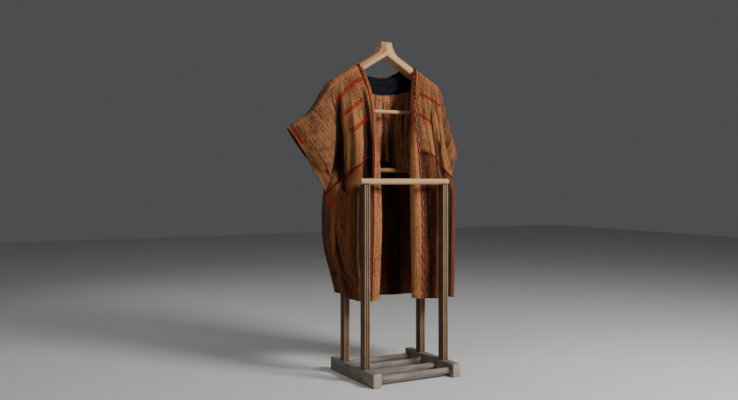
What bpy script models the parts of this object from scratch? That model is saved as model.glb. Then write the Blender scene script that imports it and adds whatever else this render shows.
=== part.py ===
"""A short open-fronted wool kaftan with wide short sleeves, hung on a wooden valet stand.

Metres, +Z up, the front looks along -Y. Everything is laid out about the middle of the stand's two feet,
and the last step moves the whole so that the middle of its bounding box stands over the origin.
"""

import math
from collections import namedtuple

import bmesh
import bpy
import numpy as np

# Cloth
WALL = 0.0020  # wool cloth
LINING_WALL = 0.0010
GAP = 0.0003  # between touching pieces

# Stand
FOOT_X = 0.150  # middle of each foot and post, either side
FOOT_WIDE = 0.030
FOOT_HIGH = 0.045
FOOT_LONG = 0.304
POST_WIDE = 0.020
POST_DEEP = 0.030
POST_Y = 0.071  # middle of the posts, front and back
GROOVE_WIDE = 0.0034
GROOVE_DEEP = 0.0020
FRONT_POST_TOP = 0.6345
FRONT_BAR_RADIUS = 0.010
FRONT_BAR_REACH = 0.168
ROD_RADIUS = 0.0105
ROD_Z = 0.0205
ROD_FIRST_Y = -0.126
ROD_PITCH = 0.084
RAILS = (("rail_upper", 0.886, 0.0065), ("rail_lower", 0.684, 0.0080))  # name, height, radius

# Hanger
HANGER_Y = 0.070
HANGER_DEEP = 0.050
HANGER_TOP = 1.125
HANGER_END = 0.204
ARM_AT_TENTH = 1.044  # top of an arm 0.1 m from the middle
ARM_SLOPE_LEFT = 0.62
ARM_SLOPE_RIGHT = 0.60
ARM_THICK = 0.030  # measured upright
NECK_HALF_LEFT = 0.019
NECK_HALF_RIGHT = 0.024
HANGER_ROUND = 0.007
NECK_TAPER_FROM = 1.068  # above this height the neck narrows front to back
NECK_TAPER = 0.35

# Garment
NECK_LEFT = -0.106
NECK_RIGHT = 0.106
ARM_TOP_LEFT = -0.215  # where the shoulder line meets each armhole
ARM_TOP_RIGHT = 0.214
LIFT = WALL / 2 + 0.0016  # middle of the wall above the arm
NECK_ROW = 0.0038  # height between the first rows below the neckline
RIDGE_BLEND = 0.10  # drop over which the shoulder line's spacing gives way to the body's
NECK_BLEND = 0.045  # the same at a front's free edge
UNDERARM = 0.600
CORNER = 0.80  # exponent of the body's rounded corners

FRONT_COLUMNS = 12
BACK_HALF_COLUMNS = 16
UPPER_ROWS = 8  # below the shoulder roll
LOWER_ROWS = 8
BAND_COLUMNS = 2

# The cloth rolls off the shoulder line: share of the way out, and drop
Roll = namedtuple("Roll", "out down")
ROLL = (Roll(0.0, 0.0), Roll(0.48, 0.0), Roll(0.73, 0.0018), Roll(0.91, 0.0070), Roll(1.0, 0.0150))

# One side of the body at each height: x of the front's free edge and of the armhole or side,
# y of the front, and y of the armhole's front and back, which meet below the arm
Level = namedtuple("Level", "z edge side front arm_front arm_back")
LEFT = (
    Level(0.235, -0.103, -0.166, -0.026, 0.062, 0.062),
    Level(0.280, -0.102, -0.178, -0.028, 0.064, 0.064),
    Level(0.330, -0.101, -0.191, -0.030, 0.066, 0.066),
    Level(0.400, -0.100, -0.213, -0.033, 0.066, 0.066),
    Level(0.460, -0.099, -0.223, -0.035, 0.066, 0.066),
    Level(0.540, -0.098, -0.225, -0.036, 0.064, 0.064),
    Level(0.600, -0.097, -0.223, -0.035, 0.062, 0.062),
    Level(0.655, -0.096, -0.213, -0.033, 0.052, 0.098),
    Level(0.740, -0.091, -0.203, -0.026, 0.043, 0.119),
    Level(0.820, -0.086, -0.200, -0.012, 0.041, 0.117),
    Level(0.900, -0.080, -0.204, 0.010, 0.040, 0.110),
    Level(0.960, -0.082, -0.212, 0.028, 0.041, 0.102),
    Level(1.000, -0.091, -0.215, 0.038, 0.041, 0.100),
    Level(1.040, -0.096, -0.215, 0.041, 0.041, 0.100),
)
RIGHT = (
    Level(0.225, 0.094, 0.260, -0.024, 0.064, 0.064),
    Level(0.300, 0.093, 0.262, -0.027, 0.064, 0.064),
    Level(0.380, 0.092, 0.263, -0.029, 0.066, 0.066),
    Level(0.460, 0.091, 0.264, -0.030, 0.066, 0.066),
    Level(0.540, 0.089, 0.265, -0.031, 0.064, 0.064),
    Level(0.600, 0.087, 0.266, -0.030, 0.064, 0.064),
    Level(0.655, 0.085, 0.260, -0.027, 0.046, 0.096),
    Level(0.740, 0.082, 0.238, -0.020, 0.036, 0.119),
    Level(0.820, 0.081, 0.223, -0.006, 0.036, 0.117),
    Level(0.900, 0.088, 0.217, 0.014, 0.038, 0.110),
    Level(0.960, 0.094, 0.214, 0.030, 0.040, 0.102),
    Level(1.000, 0.100, 0.214, 0.037, 0.041, 0.100),
    Level(1.046, 0.104, 0.214, 0.041, 0.041, 0.100),
)
BackLevel = namedtuple("BackLevel", "z y")
BACK = (
    BackLevel(0.230, 0.128),
    BackLevel(0.330, 0.131),
    BackLevel(0.460, 0.134),
    BackLevel(0.607, 0.134),
    BackLevel(0.740, 0.130),
    BackLevel(0.820, 0.124),
    BackLevel(0.900, 0.114),
    BackLevel(0.960, 0.107),
    BackLevel(1.000, 0.104),
    BackLevel(1.046, 0.104),
)

# The back's neckline, behind the hanger
NeckPoint = namedtuple("NeckPoint", "x y z")
NECKLINE = (
    NeckPoint(-0.098, 0.086, 1.0485),
    NeckPoint(-0.091, 0.1005, 1.0490),
    NeckPoint(-0.074, 0.1045, 1.0270),
    NeckPoint(-0.046, 0.1055, 1.0110),
    NeckPoint(-0.005, 0.1060, 1.0065),
    NeckPoint(0.035, 0.1055, 1.0110),
    NeckPoint(0.073, 0.1045, 1.0270),
    NeckPoint(0.090, 0.1005, 1.0515),
    NeckPoint(0.098, 0.086, 1.0490),
)

# The seam that joins the upper and lower widths of cloth, and the hem: height by place round the body
Line = namedtuple("Line", "edge middle side")
SEAM_LEFT = Line(0.738, 0.682, UNDERARM)
SEAM_RIGHT = Line(0.757, 0.708, UNDERARM)
HEM_LEFT = Line(0.252, 0.258, 0.276)
HEM_RIGHT = Line(0.248, 0.240, 0.232)
BACK_SEAM = 0.722
BACK_HEM = 0.246

# Sleeves: points of the ridge and of the underarm from the armhole to the cuff
Along = namedtuple("Along", "ridge_x ridge_z under_x under_z bulge_front bulge_back")
SLEEVE_LEFT = (
    Along(-0.2150, 0.9700, -0.2230, 0.6000, 0.000, 0.000),
    Along(-0.2340, 0.9420, -0.2290, 0.6150, 0.014, 0.004),
    Along(-0.2570, 0.9080, -0.2370, 0.6320, 0.024, 0.008),
    Along(-0.2780, 0.8800, -0.2490, 0.6500, 0.026, 0.010),
    Along(-0.3000, 0.8610, -0.2620, 0.6660, 0.022, 0.010),
    Along(-0.3220, 0.8460, -0.2730, 0.6820, 0.015, 0.008),
    Along(-0.3440, 0.8320, -0.2840, 0.7000, 0.006, 0.004),
    Along(-0.3660, 0.8180, -0.2950, 0.7200, 0.000, 0.000),
)
SLEEVE_RIGHT = (
    Along(0.2140, 0.9710, 0.2660, 0.6000, 0.000, 0.000),
    Along(0.2270, 0.9480, 0.2700, 0.6150, 0.007, 0.004),
    Along(0.2385, 0.9180, 0.2740, 0.6300, 0.013, 0.008),
    Along(0.2500, 0.8880, 0.2770, 0.6450, 0.017, 0.010),
    Along(0.2630, 0.8560, 0.2800, 0.6600, 0.017, 0.010),
    Along(0.2770, 0.8240, 0.2830, 0.6750, 0.013, 0.008),
    Along(0.2930, 0.7900, 0.2860, 0.6890, 0.006, 0.004),
    Along(0.3110, 0.7570, 0.2880, 0.7030, 0.000, 0.000),
)
CUFF_HALF_LEFT = 0.012  # half the cuff's opening, front to back
CUFF_HALF_RIGHT = 0.020
CUFF_Y_LEFT = 0.058
CUFF_Y_RIGHT = 0.082

# Folds: place across (0 at the free edge or the back's middle, 1 at the side), width, depth
# (outwards is plus), the heights between which each shows, and how far its foot drifts across
Fold = namedtuple("Fold", "at width depth low high drift")
FOLDS_LEFT = (
    Fold(0.17, 0.14, -0.018, 0.20, 0.95, 0.02),
    Fold(0.42, 0.17, 0.012, 0.20, 0.97, -0.04),
    Fold(0.60, 0.12, -0.010, 0.25, 0.70, -0.02),
    Fold(0.74, 0.14, 0.012, 0.30, 0.63, 0.10),
    Fold(0.90, 0.11, -0.011, 0.28, 0.60, -0.04),
)
FOLDS_RIGHT = (
    Fold(0.26, 0.18, 0.009, 0.20, 0.97, 0.04),
    Fold(0.54, 0.16, -0.015, 0.20, 0.95, -0.03),
    Fold(0.77, 0.16, 0.009, 0.20, 0.90, 0.02),
    Fold(0.93, 0.12, -0.010, 0.20, 0.62, -0.04),
)
FOLDS_BACK_LEFT = (
    Fold(0.20, 0.17, 0.010, 0.20, 0.93, 0.04),
    Fold(0.46, 0.16, -0.010, 0.20, 0.96, -0.03),
    Fold(0.68, 0.15, 0.011, 0.20, 0.94, 0.05),
    Fold(0.88, 0.13, -0.009, 0.20, 0.62, -0.04),
)
FOLDS_BACK_RIGHT = (
    Fold(0.14, 0.16, -0.009, 0.20, 0.95, 0.03),
    Fold(0.38, 0.17, 0.011, 0.20, 0.93, -0.04),
    Fold(0.62, 0.15, -0.010, 0.20, 0.96, 0.02),
    Fold(0.84, 0.14, 0.010, 0.20, 0.90, 0.03),
)

# The free edges turn inwards: width of the turned strip at each height
BandWidth = namedtuple("BandWidth", "z left right")
BAND = (
    BandWidth(0.235, 0.038, 0.036),
    BandWidth(0.640, 0.034, 0.036),
    BandWidth(0.800, 0.017, 0.024),
    BandWidth(0.950, 0.007, 0.010),
    BandWidth(1.046, 0.006, 0.006),
)
TURNS_LEFT = (2, 20)  # degrees that the strip turns back, near its line and at its edge
TURNS_RIGHT = (12, 50)
BAND_TURNS = 0.965  # height below which the strip turns back
BRAID_RADIUS = 0.0022

# Lining of the yoke: a half moon below the neckline
LINING_FOOT = 0.947
LINING_MIDDLE = 0.012
LINING_CURVE = 2.6
LINING_REACH = (-0.128, 0.152)
LINING_GAP = 0.0007
LINING_ROWS = 4

# Colours: linear red, green, blue, then roughness
WOOL = (0.23, 0.115, 0.052, 0.92)
WOOL_DARK = (0.14, 0.072, 0.035, 0.92)
LINING_NAVY = (0.012, 0.014, 0.022, 0.85)
BRAID_CREAM = (0.36, 0.26, 0.15, 0.85)
BIRCH = (0.50, 0.35, 0.21, 0.55)
WEATHERED = (0.20, 0.16, 0.13, 0.80)
REDWOOD = (0.16, 0.055, 0.030, 0.50)


def smooth(table, column, at):
    """The value of a named column at a height: a smooth curve through the table's rows."""
    keys = [row[0] for row in table]
    values = [getattr(row, column) for row in table]
    slopes = np.gradient(values, keys)
    i = int(np.clip(np.searchsorted(keys, at) - 1, 0, len(keys) - 2))
    step = keys[i + 1] - keys[i]
    t = min(max((at - keys[i]) / step, 0.0), 1.0)
    rise = t * t * (3 - 2 * t)
    start = t * (1 - t) ** 2 * step * slopes[i]
    end = t * t * (t - 1) * step * slopes[i + 1]
    return values[i] * (1 - rise) + values[i + 1] * rise + start + end


def ease(t):
    """A smooth step from 0 to 1."""
    t = min(max(t, 0.0), 1.0)
    return t * t * (3 - 2 * t)


def quarter_round(exponent, samples=64):
    """Shares along and across a rounded corner, at even steps of its length."""
    angles = np.linspace(0, math.pi / 2, samples)
    along = np.sin(angles) ** exponent
    across = 1 - np.cos(angles) ** exponent
    run = np.concatenate([[0], np.cumsum(np.hypot(np.diff(along), np.diff(across)))])
    return run / run[-1], along, across


CORNER_RUN, CORNER_ALONG, CORNER_ACROSS = quarter_round(CORNER)


def corner(u):
    """Shares along and across the body's rounded plan, from its middle (0) to its side (1)."""
    along = float(np.interp(u, CORNER_RUN, CORNER_ALONG))
    across = float(np.interp(u, CORNER_RUN, CORNER_ACROSS))
    return along, across


def line_height(line, u):
    """A seam's or hem's height at a place across one front or half the back."""
    bow = line.middle - (line.edge + line.side) / 2
    return line.edge + (line.side - line.edge) * u + bow * math.sin(math.pi * u)


def arm_top(x):
    """The top of the hanger's arm."""
    slope = ARM_SLOPE_LEFT if x < 0 else ARM_SLOPE_RIGHT
    return ARM_AT_TENTH - slope * (abs(x) - 0.1)


def ridge_height(x):
    """Height of the shoulder line between the neck and the armhole."""
    sleeve, arm = (SLEEVE_LEFT, ARM_TOP_LEFT) if x < 0 else (SLEEVE_RIGHT, ARM_TOP_RIGHT)
    reach = (abs(x) - HANGER_END + 0.002) / (abs(arm) - HANGER_END + 0.002)
    on_hanger = arm_top(x) + LIFT
    return on_hanger + (sleeve[0].ridge_z - arm_top(arm) - LIFT) * ease(reach)


def fold_depth(folds, u, z):
    """How far the folds push the cloth out at a place."""
    total = 0.0
    for fold in folds:
        tall = fold.high - fold.low
        down = (fold.high - z) / tall
        if not 0.0 < down < 1.2:
            continue
        away = abs(u - fold.at - fold.drift * down) / fold.width
        if away < 1.0:
            strength = ease(down / 0.3) * (1 - ease((down - 0.95) / 0.25))
            total += fold.depth * strength * 0.5 * (1 + math.cos(math.pi * away))
    return total


def plan_point(levels, folds, u, z, face):
    """The body's plan at a height: the front of one side, or half of the back."""
    along, across = corner(u)
    above = ease((z - UNDERARM) / 0.07)
    along += (u - along) * 0.6 * above
    across += (u * u - across) * above
    side_x = smooth(levels, "side", z)
    if face == "front":
        start_x, start_y = smooth(levels, "edge", z), smooth(levels, "front", z)
        side_y, out = smooth(levels, "arm_front", z), -1.0
    else:
        start_x, start_y = 0.0, smooth(BACK, "y", z)
        side_y, out = smooth(levels, "arm_back", z), 1.0
    x = start_x + (side_x - start_x) * along
    y = start_y + (side_y - start_y) * across
    depth = fold_depth(folds, u, z) * math.sin(math.pi * min(1.0, (1.0 - u) * 4) / 2)
    turn = u ** 3 * math.pi / 2
    return x + math.copysign(depth * math.sin(turn), side_x), y + out * depth * math.cos(turn)


def column_heights(top, seam, hem, spread):
    """Heights of a column's points: the shoulder roll, the upper width, then the lower width."""
    roll = [top - step.down * (1 - spread) - NECK_ROW * i * spread for i, step in enumerate(ROLL)]
    upper = [roll[-1] + (seam - roll[-1]) * i / UPPER_ROWS for i in range(1, UPPER_ROWS + 1)]
    lower = [seam + (hem - seam) * i / LOWER_ROWS for i in range(1, LOWER_ROWS + 1)]
    return roll + upper + lower


def column(levels, folds, u, face, top_point, seam, hem):
    """One column of cloth from the shoulder or neckline down to the hem."""
    top_x, top_y, top_z = top_point
    _, rest_y = plan_point(levels, folds, u, top_z, face)
    spread = ease((abs(top_y - HANGER_Y) - 0.012) / 0.018)
    blend = RIDGE_BLEND if face == "back" else NECK_BLEND + (RIDGE_BLEND - NECK_BLEND) * ease(u / 0.4)
    points = []
    for i, z in enumerate(column_heights(top_z, seam, hem, spread)):
        x, y = plan_point(levels, folds, u, z, face)
        share = ease((top_z - z) / blend)
        out = ROLL[i].out if i < len(ROLL) else 1.0
        start_y = top_y if spread < 0.5 else top_y + (y - rest_y) * 0.5
        points.append((top_x + (x - top_x) * share, start_y + (y - start_y) * out, z))
    return points


def front_grid(levels, folds, neck, seam, hem):
    """A front from its free edge to its armhole and side: rows down, columns across."""
    arm = ARM_TOP_LEFT if neck < 0 else ARM_TOP_RIGHT
    columns = []
    for i in range(FRONT_COLUMNS + 1):
        u = i / FRONT_COLUMNS
        x = neck + (arm - neck) * u
        top = (x, HANGER_Y, ridge_height(x))
        heights = line_height(seam, u), line_height(hem, u)
        columns.append(column(levels, folds, u, "front", top, *heights))
    return np.array(columns).transpose(1, 0, 2)


def back_top(x):
    """The back's upper edge: the shoulder line, or the neckline between its ends."""
    if x <= NECK_LEFT or x >= NECK_RIGHT:
        return x, HANGER_Y, ridge_height(x)
    ends = [
        NeckPoint(NECK_LEFT, HANGER_Y, ridge_height(NECK_LEFT)),
        NeckPoint(NECK_RIGHT, HANGER_Y, ridge_height(NECK_RIGHT)),
    ]
    rows = [ends[0], *NECKLINE, ends[1]]
    keys = [row.x for row in rows]
    y = float(np.interp(x, keys, [row.y for row in rows]))
    z = float(np.interp(x, keys, [row.z for row in rows]))
    return x, y, z


def back_places():
    """Places of the back's columns along its top, with one at each row of the neckline near the shoulders."""
    shares = np.linspace(ARM_TOP_LEFT, ARM_TOP_RIGHT, 2 * BACK_HALF_COLUMNS + 1)
    wanted = [NECK_LEFT, NECKLINE[0].x, NECKLINE[1].x, NECKLINE[-2].x, NECKLINE[-1].x, NECK_RIGHT]
    kept = [x for x in shares if min(abs(x - w) for w in wanted) > 0.0045]
    return sorted(kept + wanted)


def back_grid():
    """The whole back: rows down, columns from its left side to its right."""
    columns = []
    for x in back_places():
        left = x < 0
        u = x / (ARM_TOP_LEFT if left else ARM_TOP_RIGHT)
        levels, folds = (LEFT, FOLDS_BACK_LEFT) if left else (RIGHT, FOLDS_BACK_RIGHT)
        side_seam, side_hem = (SEAM_LEFT, HEM_LEFT) if left else (SEAM_RIGHT, HEM_RIGHT)
        seam = BACK_SEAM + (side_seam.side - BACK_SEAM) * ease(u)
        hem = BACK_HEM + (side_hem.side - BACK_HEM) * ease(u)
        columns.append(column(levels, folds, u, "back", back_top(x), seam, hem))
    return np.array(columns).transpose(1, 0, 2)


def sleeve_grid(front_edge, back_edge, table, cuff_y, cuff_half):
    """A sleeve: rows round it (ridge, front, underarm, back), columns from armhole to cuff."""
    loop = np.concatenate([front_edge, back_edge[-2:0:-1]])
    count = len(front_edge) - 1
    runs = np.linalg.norm(np.diff(front_edge, axis=0), axis=1)
    share = np.concatenate([[0], np.cumsum(runs)]) / runs.sum()
    angles = np.concatenate([share * math.pi, 2 * math.pi - share[-2:0:-1] * math.pi])
    ends = table[-1]
    ridge = np.array([ends.ridge_x, cuff_y, ends.ridge_z])
    under = np.array([ends.under_x, cuff_y, ends.under_z])
    grid = np.zeros((2 * count, len(table), 3))
    for k, row in enumerate(table):
        t = k / (len(table) - 1)
        for j, angle in enumerate(angles):
            down = 0.5 * (1 - math.cos(angle))
            cuff = ridge * (1 - down) + under * down
            cuff[1] -= cuff_half * math.sin(angle)
            point = loop[j] * (1 - t) + cuff * t
            base_ridge = loop[0] * (1 - t) + ridge * t
            base_under = loop[count] * (1 - t) + under * t
            near = math.cos(angle / 2) ** 2
            point[0] += near * (row.ridge_x - base_ridge[0]) + (1 - near) * (row.under_x - base_under[0])
            point[2] += near * (row.ridge_z - base_ridge[2]) + (1 - near) * (row.under_z - base_under[2])
            bulge = row.bulge_front if math.sin(angle) > 0 else row.bulge_back
            point[1] -= bulge * math.sin(angle) * (0.6 + 0.4 * abs(math.sin(angle)))
            grid[j, k] = point
    return grid


def band_grid(edge, column_name, side, turns):
    """The strip that turns inwards from a front's free edge: its first column is that edge."""
    inward = -side
    first_turn, last_turn = turns
    columns = [edge]
    for i in range(1, BAND_COLUMNS + 1):
        share = i / BAND_COLUMNS
        points = []
        for x, y, z in edge:
            width = smooth(BAND, column_name, z) * share
            turn = math.radians(first_turn + (last_turn - first_turn) * share) * ease((BAND_TURNS - z) / 0.12)
            points.append((x + inward * width * math.cos(turn), y + width * math.sin(turn), z))
        columns.append(np.array(points))
    return np.array(columns).transpose(1, 0, 2)


def outward_normals(grid, facing, around=False):
    """Face normals of a grid's cells, turned to the side that the rows' signs of y give."""
    rows = np.concatenate([grid, grid[:1]]) if around else grid
    across = rows[1:, 1:] - rows[:-1, :-1]
    other = rows[:-1, 1:] - rows[1:, :-1]
    normal = np.cross(across, other)
    sign = np.asarray(facing).reshape(-1, 1)
    return normal if (normal[..., 1] * sign).sum() > 0 else -normal


def key(point):
    return tuple(np.round(point, 5))


def shared_normals(panels):
    """Normals at the panels' points, the same for all panels that meet there, longer at sharp bends."""
    sums, faces = {}, {}
    for grid, facing, around in panels:
        cells = outward_normals(grid, facing, around)
        for j in range(cells.shape[0]):
            for k in range(cells.shape[1]):
                corners = [(j, k), (j, k + 1), ((j + 1) % grid.shape[0], k), ((j + 1) % grid.shape[0], k + 1)]
                unit = cells[j, k] / max(np.linalg.norm(cells[j, k]), 1e-12)
                for corner_place in corners:
                    place = key(grid[corner_place])
                    sums[place] = sums.get(place, 0) + cells[j, k]
                    faces.setdefault(place, []).append(unit)
    normals = {}
    for place, total in sums.items():
        unit = total / max(np.linalg.norm(total), 1e-12)
        flat = float(np.mean([face @ unit for face in faces[place]]))
        normals[place] = unit / max(flat, 0.72)
    return normals


def draw_in(grid, around):
    """Moves a panel's edges inwards by half a seam's gap."""
    moved = grid.copy()

    def shift(edge, inner):
        step = inner - edge
        return edge + step / np.linalg.norm(step, axis=-1, keepdims=True) * GAP / 2

    moved[:, 0] = shift(grid[:, 0], grid[:, 1])
    moved[:, -1] = shift(grid[:, -1], grid[:, -2])
    if not around:
        top, foot = moved[0].copy(), moved[-1].copy()
        moved[0] = shift(top, moved[1])
        moved[-1] = shift(foot, moved[-2])
    return moved


def material(name, look):
    """A plain material with a colour and a roughness."""
    made = bpy.data.materials.new(name)
    made.use_nodes = True
    shader = made.node_tree.nodes["Principled BSDF"]
    shader.inputs["Base Color"].default_value = (*look[:3], 1.0)
    shader.inputs["Roughness"].default_value = look[3]
    shader.inputs["Metallic"].default_value = 0.0
    return made


def add_object(name, mesh, look):
    """Links a mesh to the part's collection as an object with its own material."""
    obj = bpy.data.objects.new(name, mesh)
    obj.data.materials.append(material(name, look))
    bpy.data.collections["kaftan_on_stand"].objects.link(obj)
    obj.data.shade_smooth()
    obj.data.set_sharp_from_angle(angle=math.radians(40))
    return obj


def rim(work, outer_a, outer_b, inner_a, inner_b):
    """Closes a wall's edge with two triangles, split the same way on both sides of a seam."""
    if tuple(outer_a.co.zyx) < tuple(outer_b.co.zyx):
        outer_a, outer_b, inner_a, inner_b = outer_b, outer_a, inner_b, inner_a
    work.faces.new((outer_a, outer_b, inner_b))
    work.faces.new((outer_a, inner_b, inner_a))


def wall_between(name, outer, inner, around, look):
    """A closed cloth wall between two grids of points, open at its ends or closed round."""
    work = bmesh.new()
    rows, columns = outer.shape[:2]
    skins = [[[work.verts.new(skin[j, k]) for k in range(columns)] for j in range(rows)] for skin in (outer, inner)]
    last = rows if around else rows - 1
    for skin in skins:
        for j in range(last):
            below = skin[(j + 1) % rows]
            for k in range(columns - 1):
                work.faces.new((skin[j][k], skin[j][k + 1], below[k + 1], below[k]))
    for k in (0, columns - 1):
        for j in range(last):
            rim(work, skins[0][j][k], skins[0][(j + 1) % rows][k], skins[1][j][k], skins[1][(j + 1) % rows][k])
    if not around:
        for a, b in ((skins[0][0], skins[1][0]), (skins[0][-1], skins[1][-1])):
            for k in range(columns - 1):
                rim(work, a[k], a[k + 1], b[k], b[k + 1])
    bmesh.ops.recalc_face_normals(work, faces=work.faces)
    mesh = bpy.data.meshes.new(name)
    work.to_mesh(mesh)
    work.free()
    return add_object(name, mesh, look)


def cloth_wall(name, grid, normals, around, look):
    """A panel of the kaftan: its middle surface given the wool's thickness."""
    reach = np.array([[normals[key(point)] for point in row] for row in grid])
    middle = draw_in(grid, around)
    return wall_between(name, middle + reach * WALL / 2, middle - reach * WALL / 2, around, look)


def robe():
    """All the panels of the kaftan, cut from shared surfaces."""
    seam = len(ROLL) - 1 + UPPER_ROWS
    left = front_grid(LEFT, FOLDS_LEFT, NECK_LEFT, SEAM_LEFT, HEM_LEFT)
    right = front_grid(RIGHT, FOLDS_RIGHT, NECK_RIGHT, SEAM_RIGHT, HEM_RIGHT)
    back = back_grid()
    for front, place in ((left, 0), (right, -1)):
        back[seam:, place] = front[seam:, -1]
        back[0, place] = front[0, -1]
    sleeve_left = sleeve_grid(left[: seam + 1, -1], back[: seam + 1, 0], SLEEVE_LEFT, CUFF_Y_LEFT, CUFF_HALF_LEFT)
    sleeve_right = sleeve_grid(
        right[: seam + 1, -1], back[: seam + 1, -1], SLEEVE_RIGHT, CUFF_Y_RIGHT, CUFF_HALF_RIGHT
    )
    band_left = band_grid(left[len(ROLL) - 1 :, 0], "left", -1, TURNS_LEFT)
    band_right = band_grid(right[len(ROLL) - 1 :, 0], "right", 1, TURNS_RIGHT)
    round_sleeve = [-1] * seam + [1] * seam
    panels = {
        "front_left_upper": (left[: seam + 1], -1, False),
        "front_left_lower": (left[seam:], -1, False),
        "front_right_upper": (right[: seam + 1], -1, False),
        "front_right_lower": (right[seam:], -1, False),
        "back_upper": (back[: seam + 1], 1, False),
        "back_lower": (back[seam:], 1, False),
        "sleeve_left": (sleeve_left, round_sleeve, True),
        "sleeve_right": (sleeve_right, round_sleeve, True),
        "front_band_left": (band_left, -1, False),
        "front_band_right": (band_right, -1, False),
    }
    normals = shared_normals(panels.values())
    for name, (grid, _, around) in panels.items():
        cloth_wall(name, grid, normals, around, WOOL_DARK if "lower" in name else WOOL)
    yoke_lining(back[: seam + 1], normals)
    for name, front in (("edge_braid_left", left), ("edge_braid_right", right)):
        edge_braid(name, front, normals)


def yoke_lining(back, normals):
    """The half moon of dark lining inside the back of the neck, laid on the back's inner face."""
    first, last = LINING_REACH
    rows = back.shape[0]
    reach = np.array([[normals[key(point)] for point in row] for row in back])
    columns_outer, columns_inner = [], []
    for place in range(back.shape[1]):
        line, away = back[:, place], reach[:, place]
        x = line[0, 0]
        if not first <= x <= last:
            continue
        heights = line[::-1, 2]
        behind = not NECKLINE[1].x < x < NECKLINE[-2].x
        top = line[len(ROLL) - 1, 2] - 0.004 if behind else line[0, 2] - 0.0015
        foot = min(LINING_FOOT + LINING_CURVE * (x - LINING_MIDDLE) ** 2, top - 0.006)
        outer, inner = [], []
        for i in range(LINING_ROWS + 1):
            z = top + (foot - top) * i / LINING_ROWS
            place_row = float(np.interp(z, heights, np.arange(rows)[::-1]))
            low = min(int(place_row), rows - 2)
            part = place_row - low
            point = line[low] * (1 - part) + line[low + 1] * part
            normal = away[low] * (1 - part) + away[low + 1] * part
            outer.append(point - normal * (WALL / 2 + LINING_GAP))
            inner.append(point - normal * (WALL / 2 + LINING_GAP + LINING_WALL))
        columns_outer.append(outer)
        columns_inner.append(inner)
    grids = [np.array(side).transpose(1, 0, 2) for side in (columns_outer, columns_inner)]
    wall_between("yoke_lining", *grids, False, LINING_NAVY)


def edge_braid(name, front, normals):
    """The braid laid along a front's free edge, on the outside of the cloth."""
    points = []
    for j in range(len(ROLL) - 1, front.shape[0]):
        normal = normals[key(front[j, 0])]
        normal = normal / np.linalg.norm(normal)
        across = front[j, 1] - front[j, 0]
        across = across / np.linalg.norm(across)
        away = WALL / 2 + GAP * 2 + BRAID_RADIUS
        points.append(front[j, 0] + normal * away + across * BRAID_RADIUS)
    curve = bpy.data.curves.new(name, "CURVE")
    curve.dimensions = "3D"
    spline = curve.splines.new("POLY")
    spline.points.add(len(points) - 1)
    for target, point in zip(spline.points, points):
        target.co = (*point, 1.0)
    curve.bevel_depth = BRAID_RADIUS
    curve.bevel_resolution = 2
    curve.use_fill_caps = True
    curve.materials.append(material(name, BRAID_CREAM))
    obj = bpy.data.objects.new(name, curve)
    bpy.data.collections["kaftan_on_stand"].objects.link(obj)
    return obj


def prism(name, outline, start, end, axis, look, rounding=0.0):
    """An outline drawn across an axis and pulled along it, with its long edges rounded."""
    work = bmesh.new()
    order = {"x": (2, 0, 1), "y": (0, 2, 1), "z": (0, 1, 2)}[axis]

    def place(a, b, along):
        values = (a, b, along)
        return tuple(values[order[i]] for i in range(3))

    verts = [work.verts.new(place(a, b, start)) for a, b in outline]
    face = work.faces.new(verts)
    moved = bmesh.ops.extrude_face_region(work, geom=[face])
    shift = place(0.0, 0.0, end - start)
    bmesh.ops.translate(work, verts=[v for v in moved["geom"] if isinstance(v, bmesh.types.BMVert)], vec=shift)
    bmesh.ops.recalc_face_normals(work, faces=work.faces)
    if rounding:
        way = order.index(2)
        rims = [e for e in work.edges if abs(e.verts[0].co[way] - e.verts[1].co[way]) < 1e-6]
        rims = [e for e in rims if max(abs(v.co.x) for v in e.verts) > GAP]  # the joint in the middle stays sharp
        bmesh.ops.bevel(
            work, geom=rims, offset=rounding, segments=3, profile=0.5, affect="EDGES", clamp_overlap=True, material=-1
        )
    mesh = bpy.data.meshes.new(name)
    work.to_mesh(mesh)
    work.free()
    return add_object(name, mesh, look)


def block(name, low, high, rounding, look):
    """A box with rounded edges."""
    bpy.ops.mesh.primitive_cube_add(size=1.0)
    obj = bpy.context.object
    middle = [(a + b) / 2 for a, b in zip(low, high)]
    for vert in obj.data.vertices:
        vert.co = [m + c * (b - a) for m, c, a, b in zip(middle, vert.co, low, high)]
    obj.name = obj.data.name = name
    adopt(obj, look)
    bevel = obj.modifiers.new("rounded edges", "BEVEL")
    bevel.width = rounding
    bevel.segments = 2
    return obj


def rod(name, radius, x_ends, y, z, look, sides=20):
    """A round rod that lies along X."""
    low, high = x_ends
    bpy.ops.mesh.primitive_cylinder_add(
        vertices=sides, radius=radius, depth=high - low, location=((low + high) / 2, y, z), rotation=(0, math.pi / 2, 0)
    )
    obj = bpy.context.object
    obj.name = obj.data.name = name
    return adopt(obj, look)


def adopt(obj, look):
    """Moves a new primitive to the part's collection and gives it its material."""
    for collection in list(obj.users_collection):
        collection.objects.unlink(obj)
    bpy.data.collections["kaftan_on_stand"].objects.link(obj)
    obj.data.materials.append(material(obj.name, look))
    obj.data.shade_smooth()
    obj.data.set_sharp_from_angle(angle=math.radians(40))
    return obj


def post_outline(x, y):
    """A post's cross section: a block with two grooves down its front."""
    half_wide, half_deep = POST_WIDE / 2, POST_DEEP / 2
    front = y - half_deep
    outline = [(x - half_wide, front)]
    for middle in (x - GROOVE_WIDE, x + GROOVE_WIDE):
        outline.append((middle - GROOVE_WIDE / 2, front))
        outline.append((middle - GROOVE_WIDE / 4, front + GROOVE_DEEP))
        outline.append((middle + GROOVE_WIDE / 4, front + GROOVE_DEEP))
        outline.append((middle + GROOVE_WIDE / 2, front))
    outline += [(x + half_wide, front), (x + half_wide, y + half_deep), (x - half_wide, y + half_deep)]
    return outline


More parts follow.
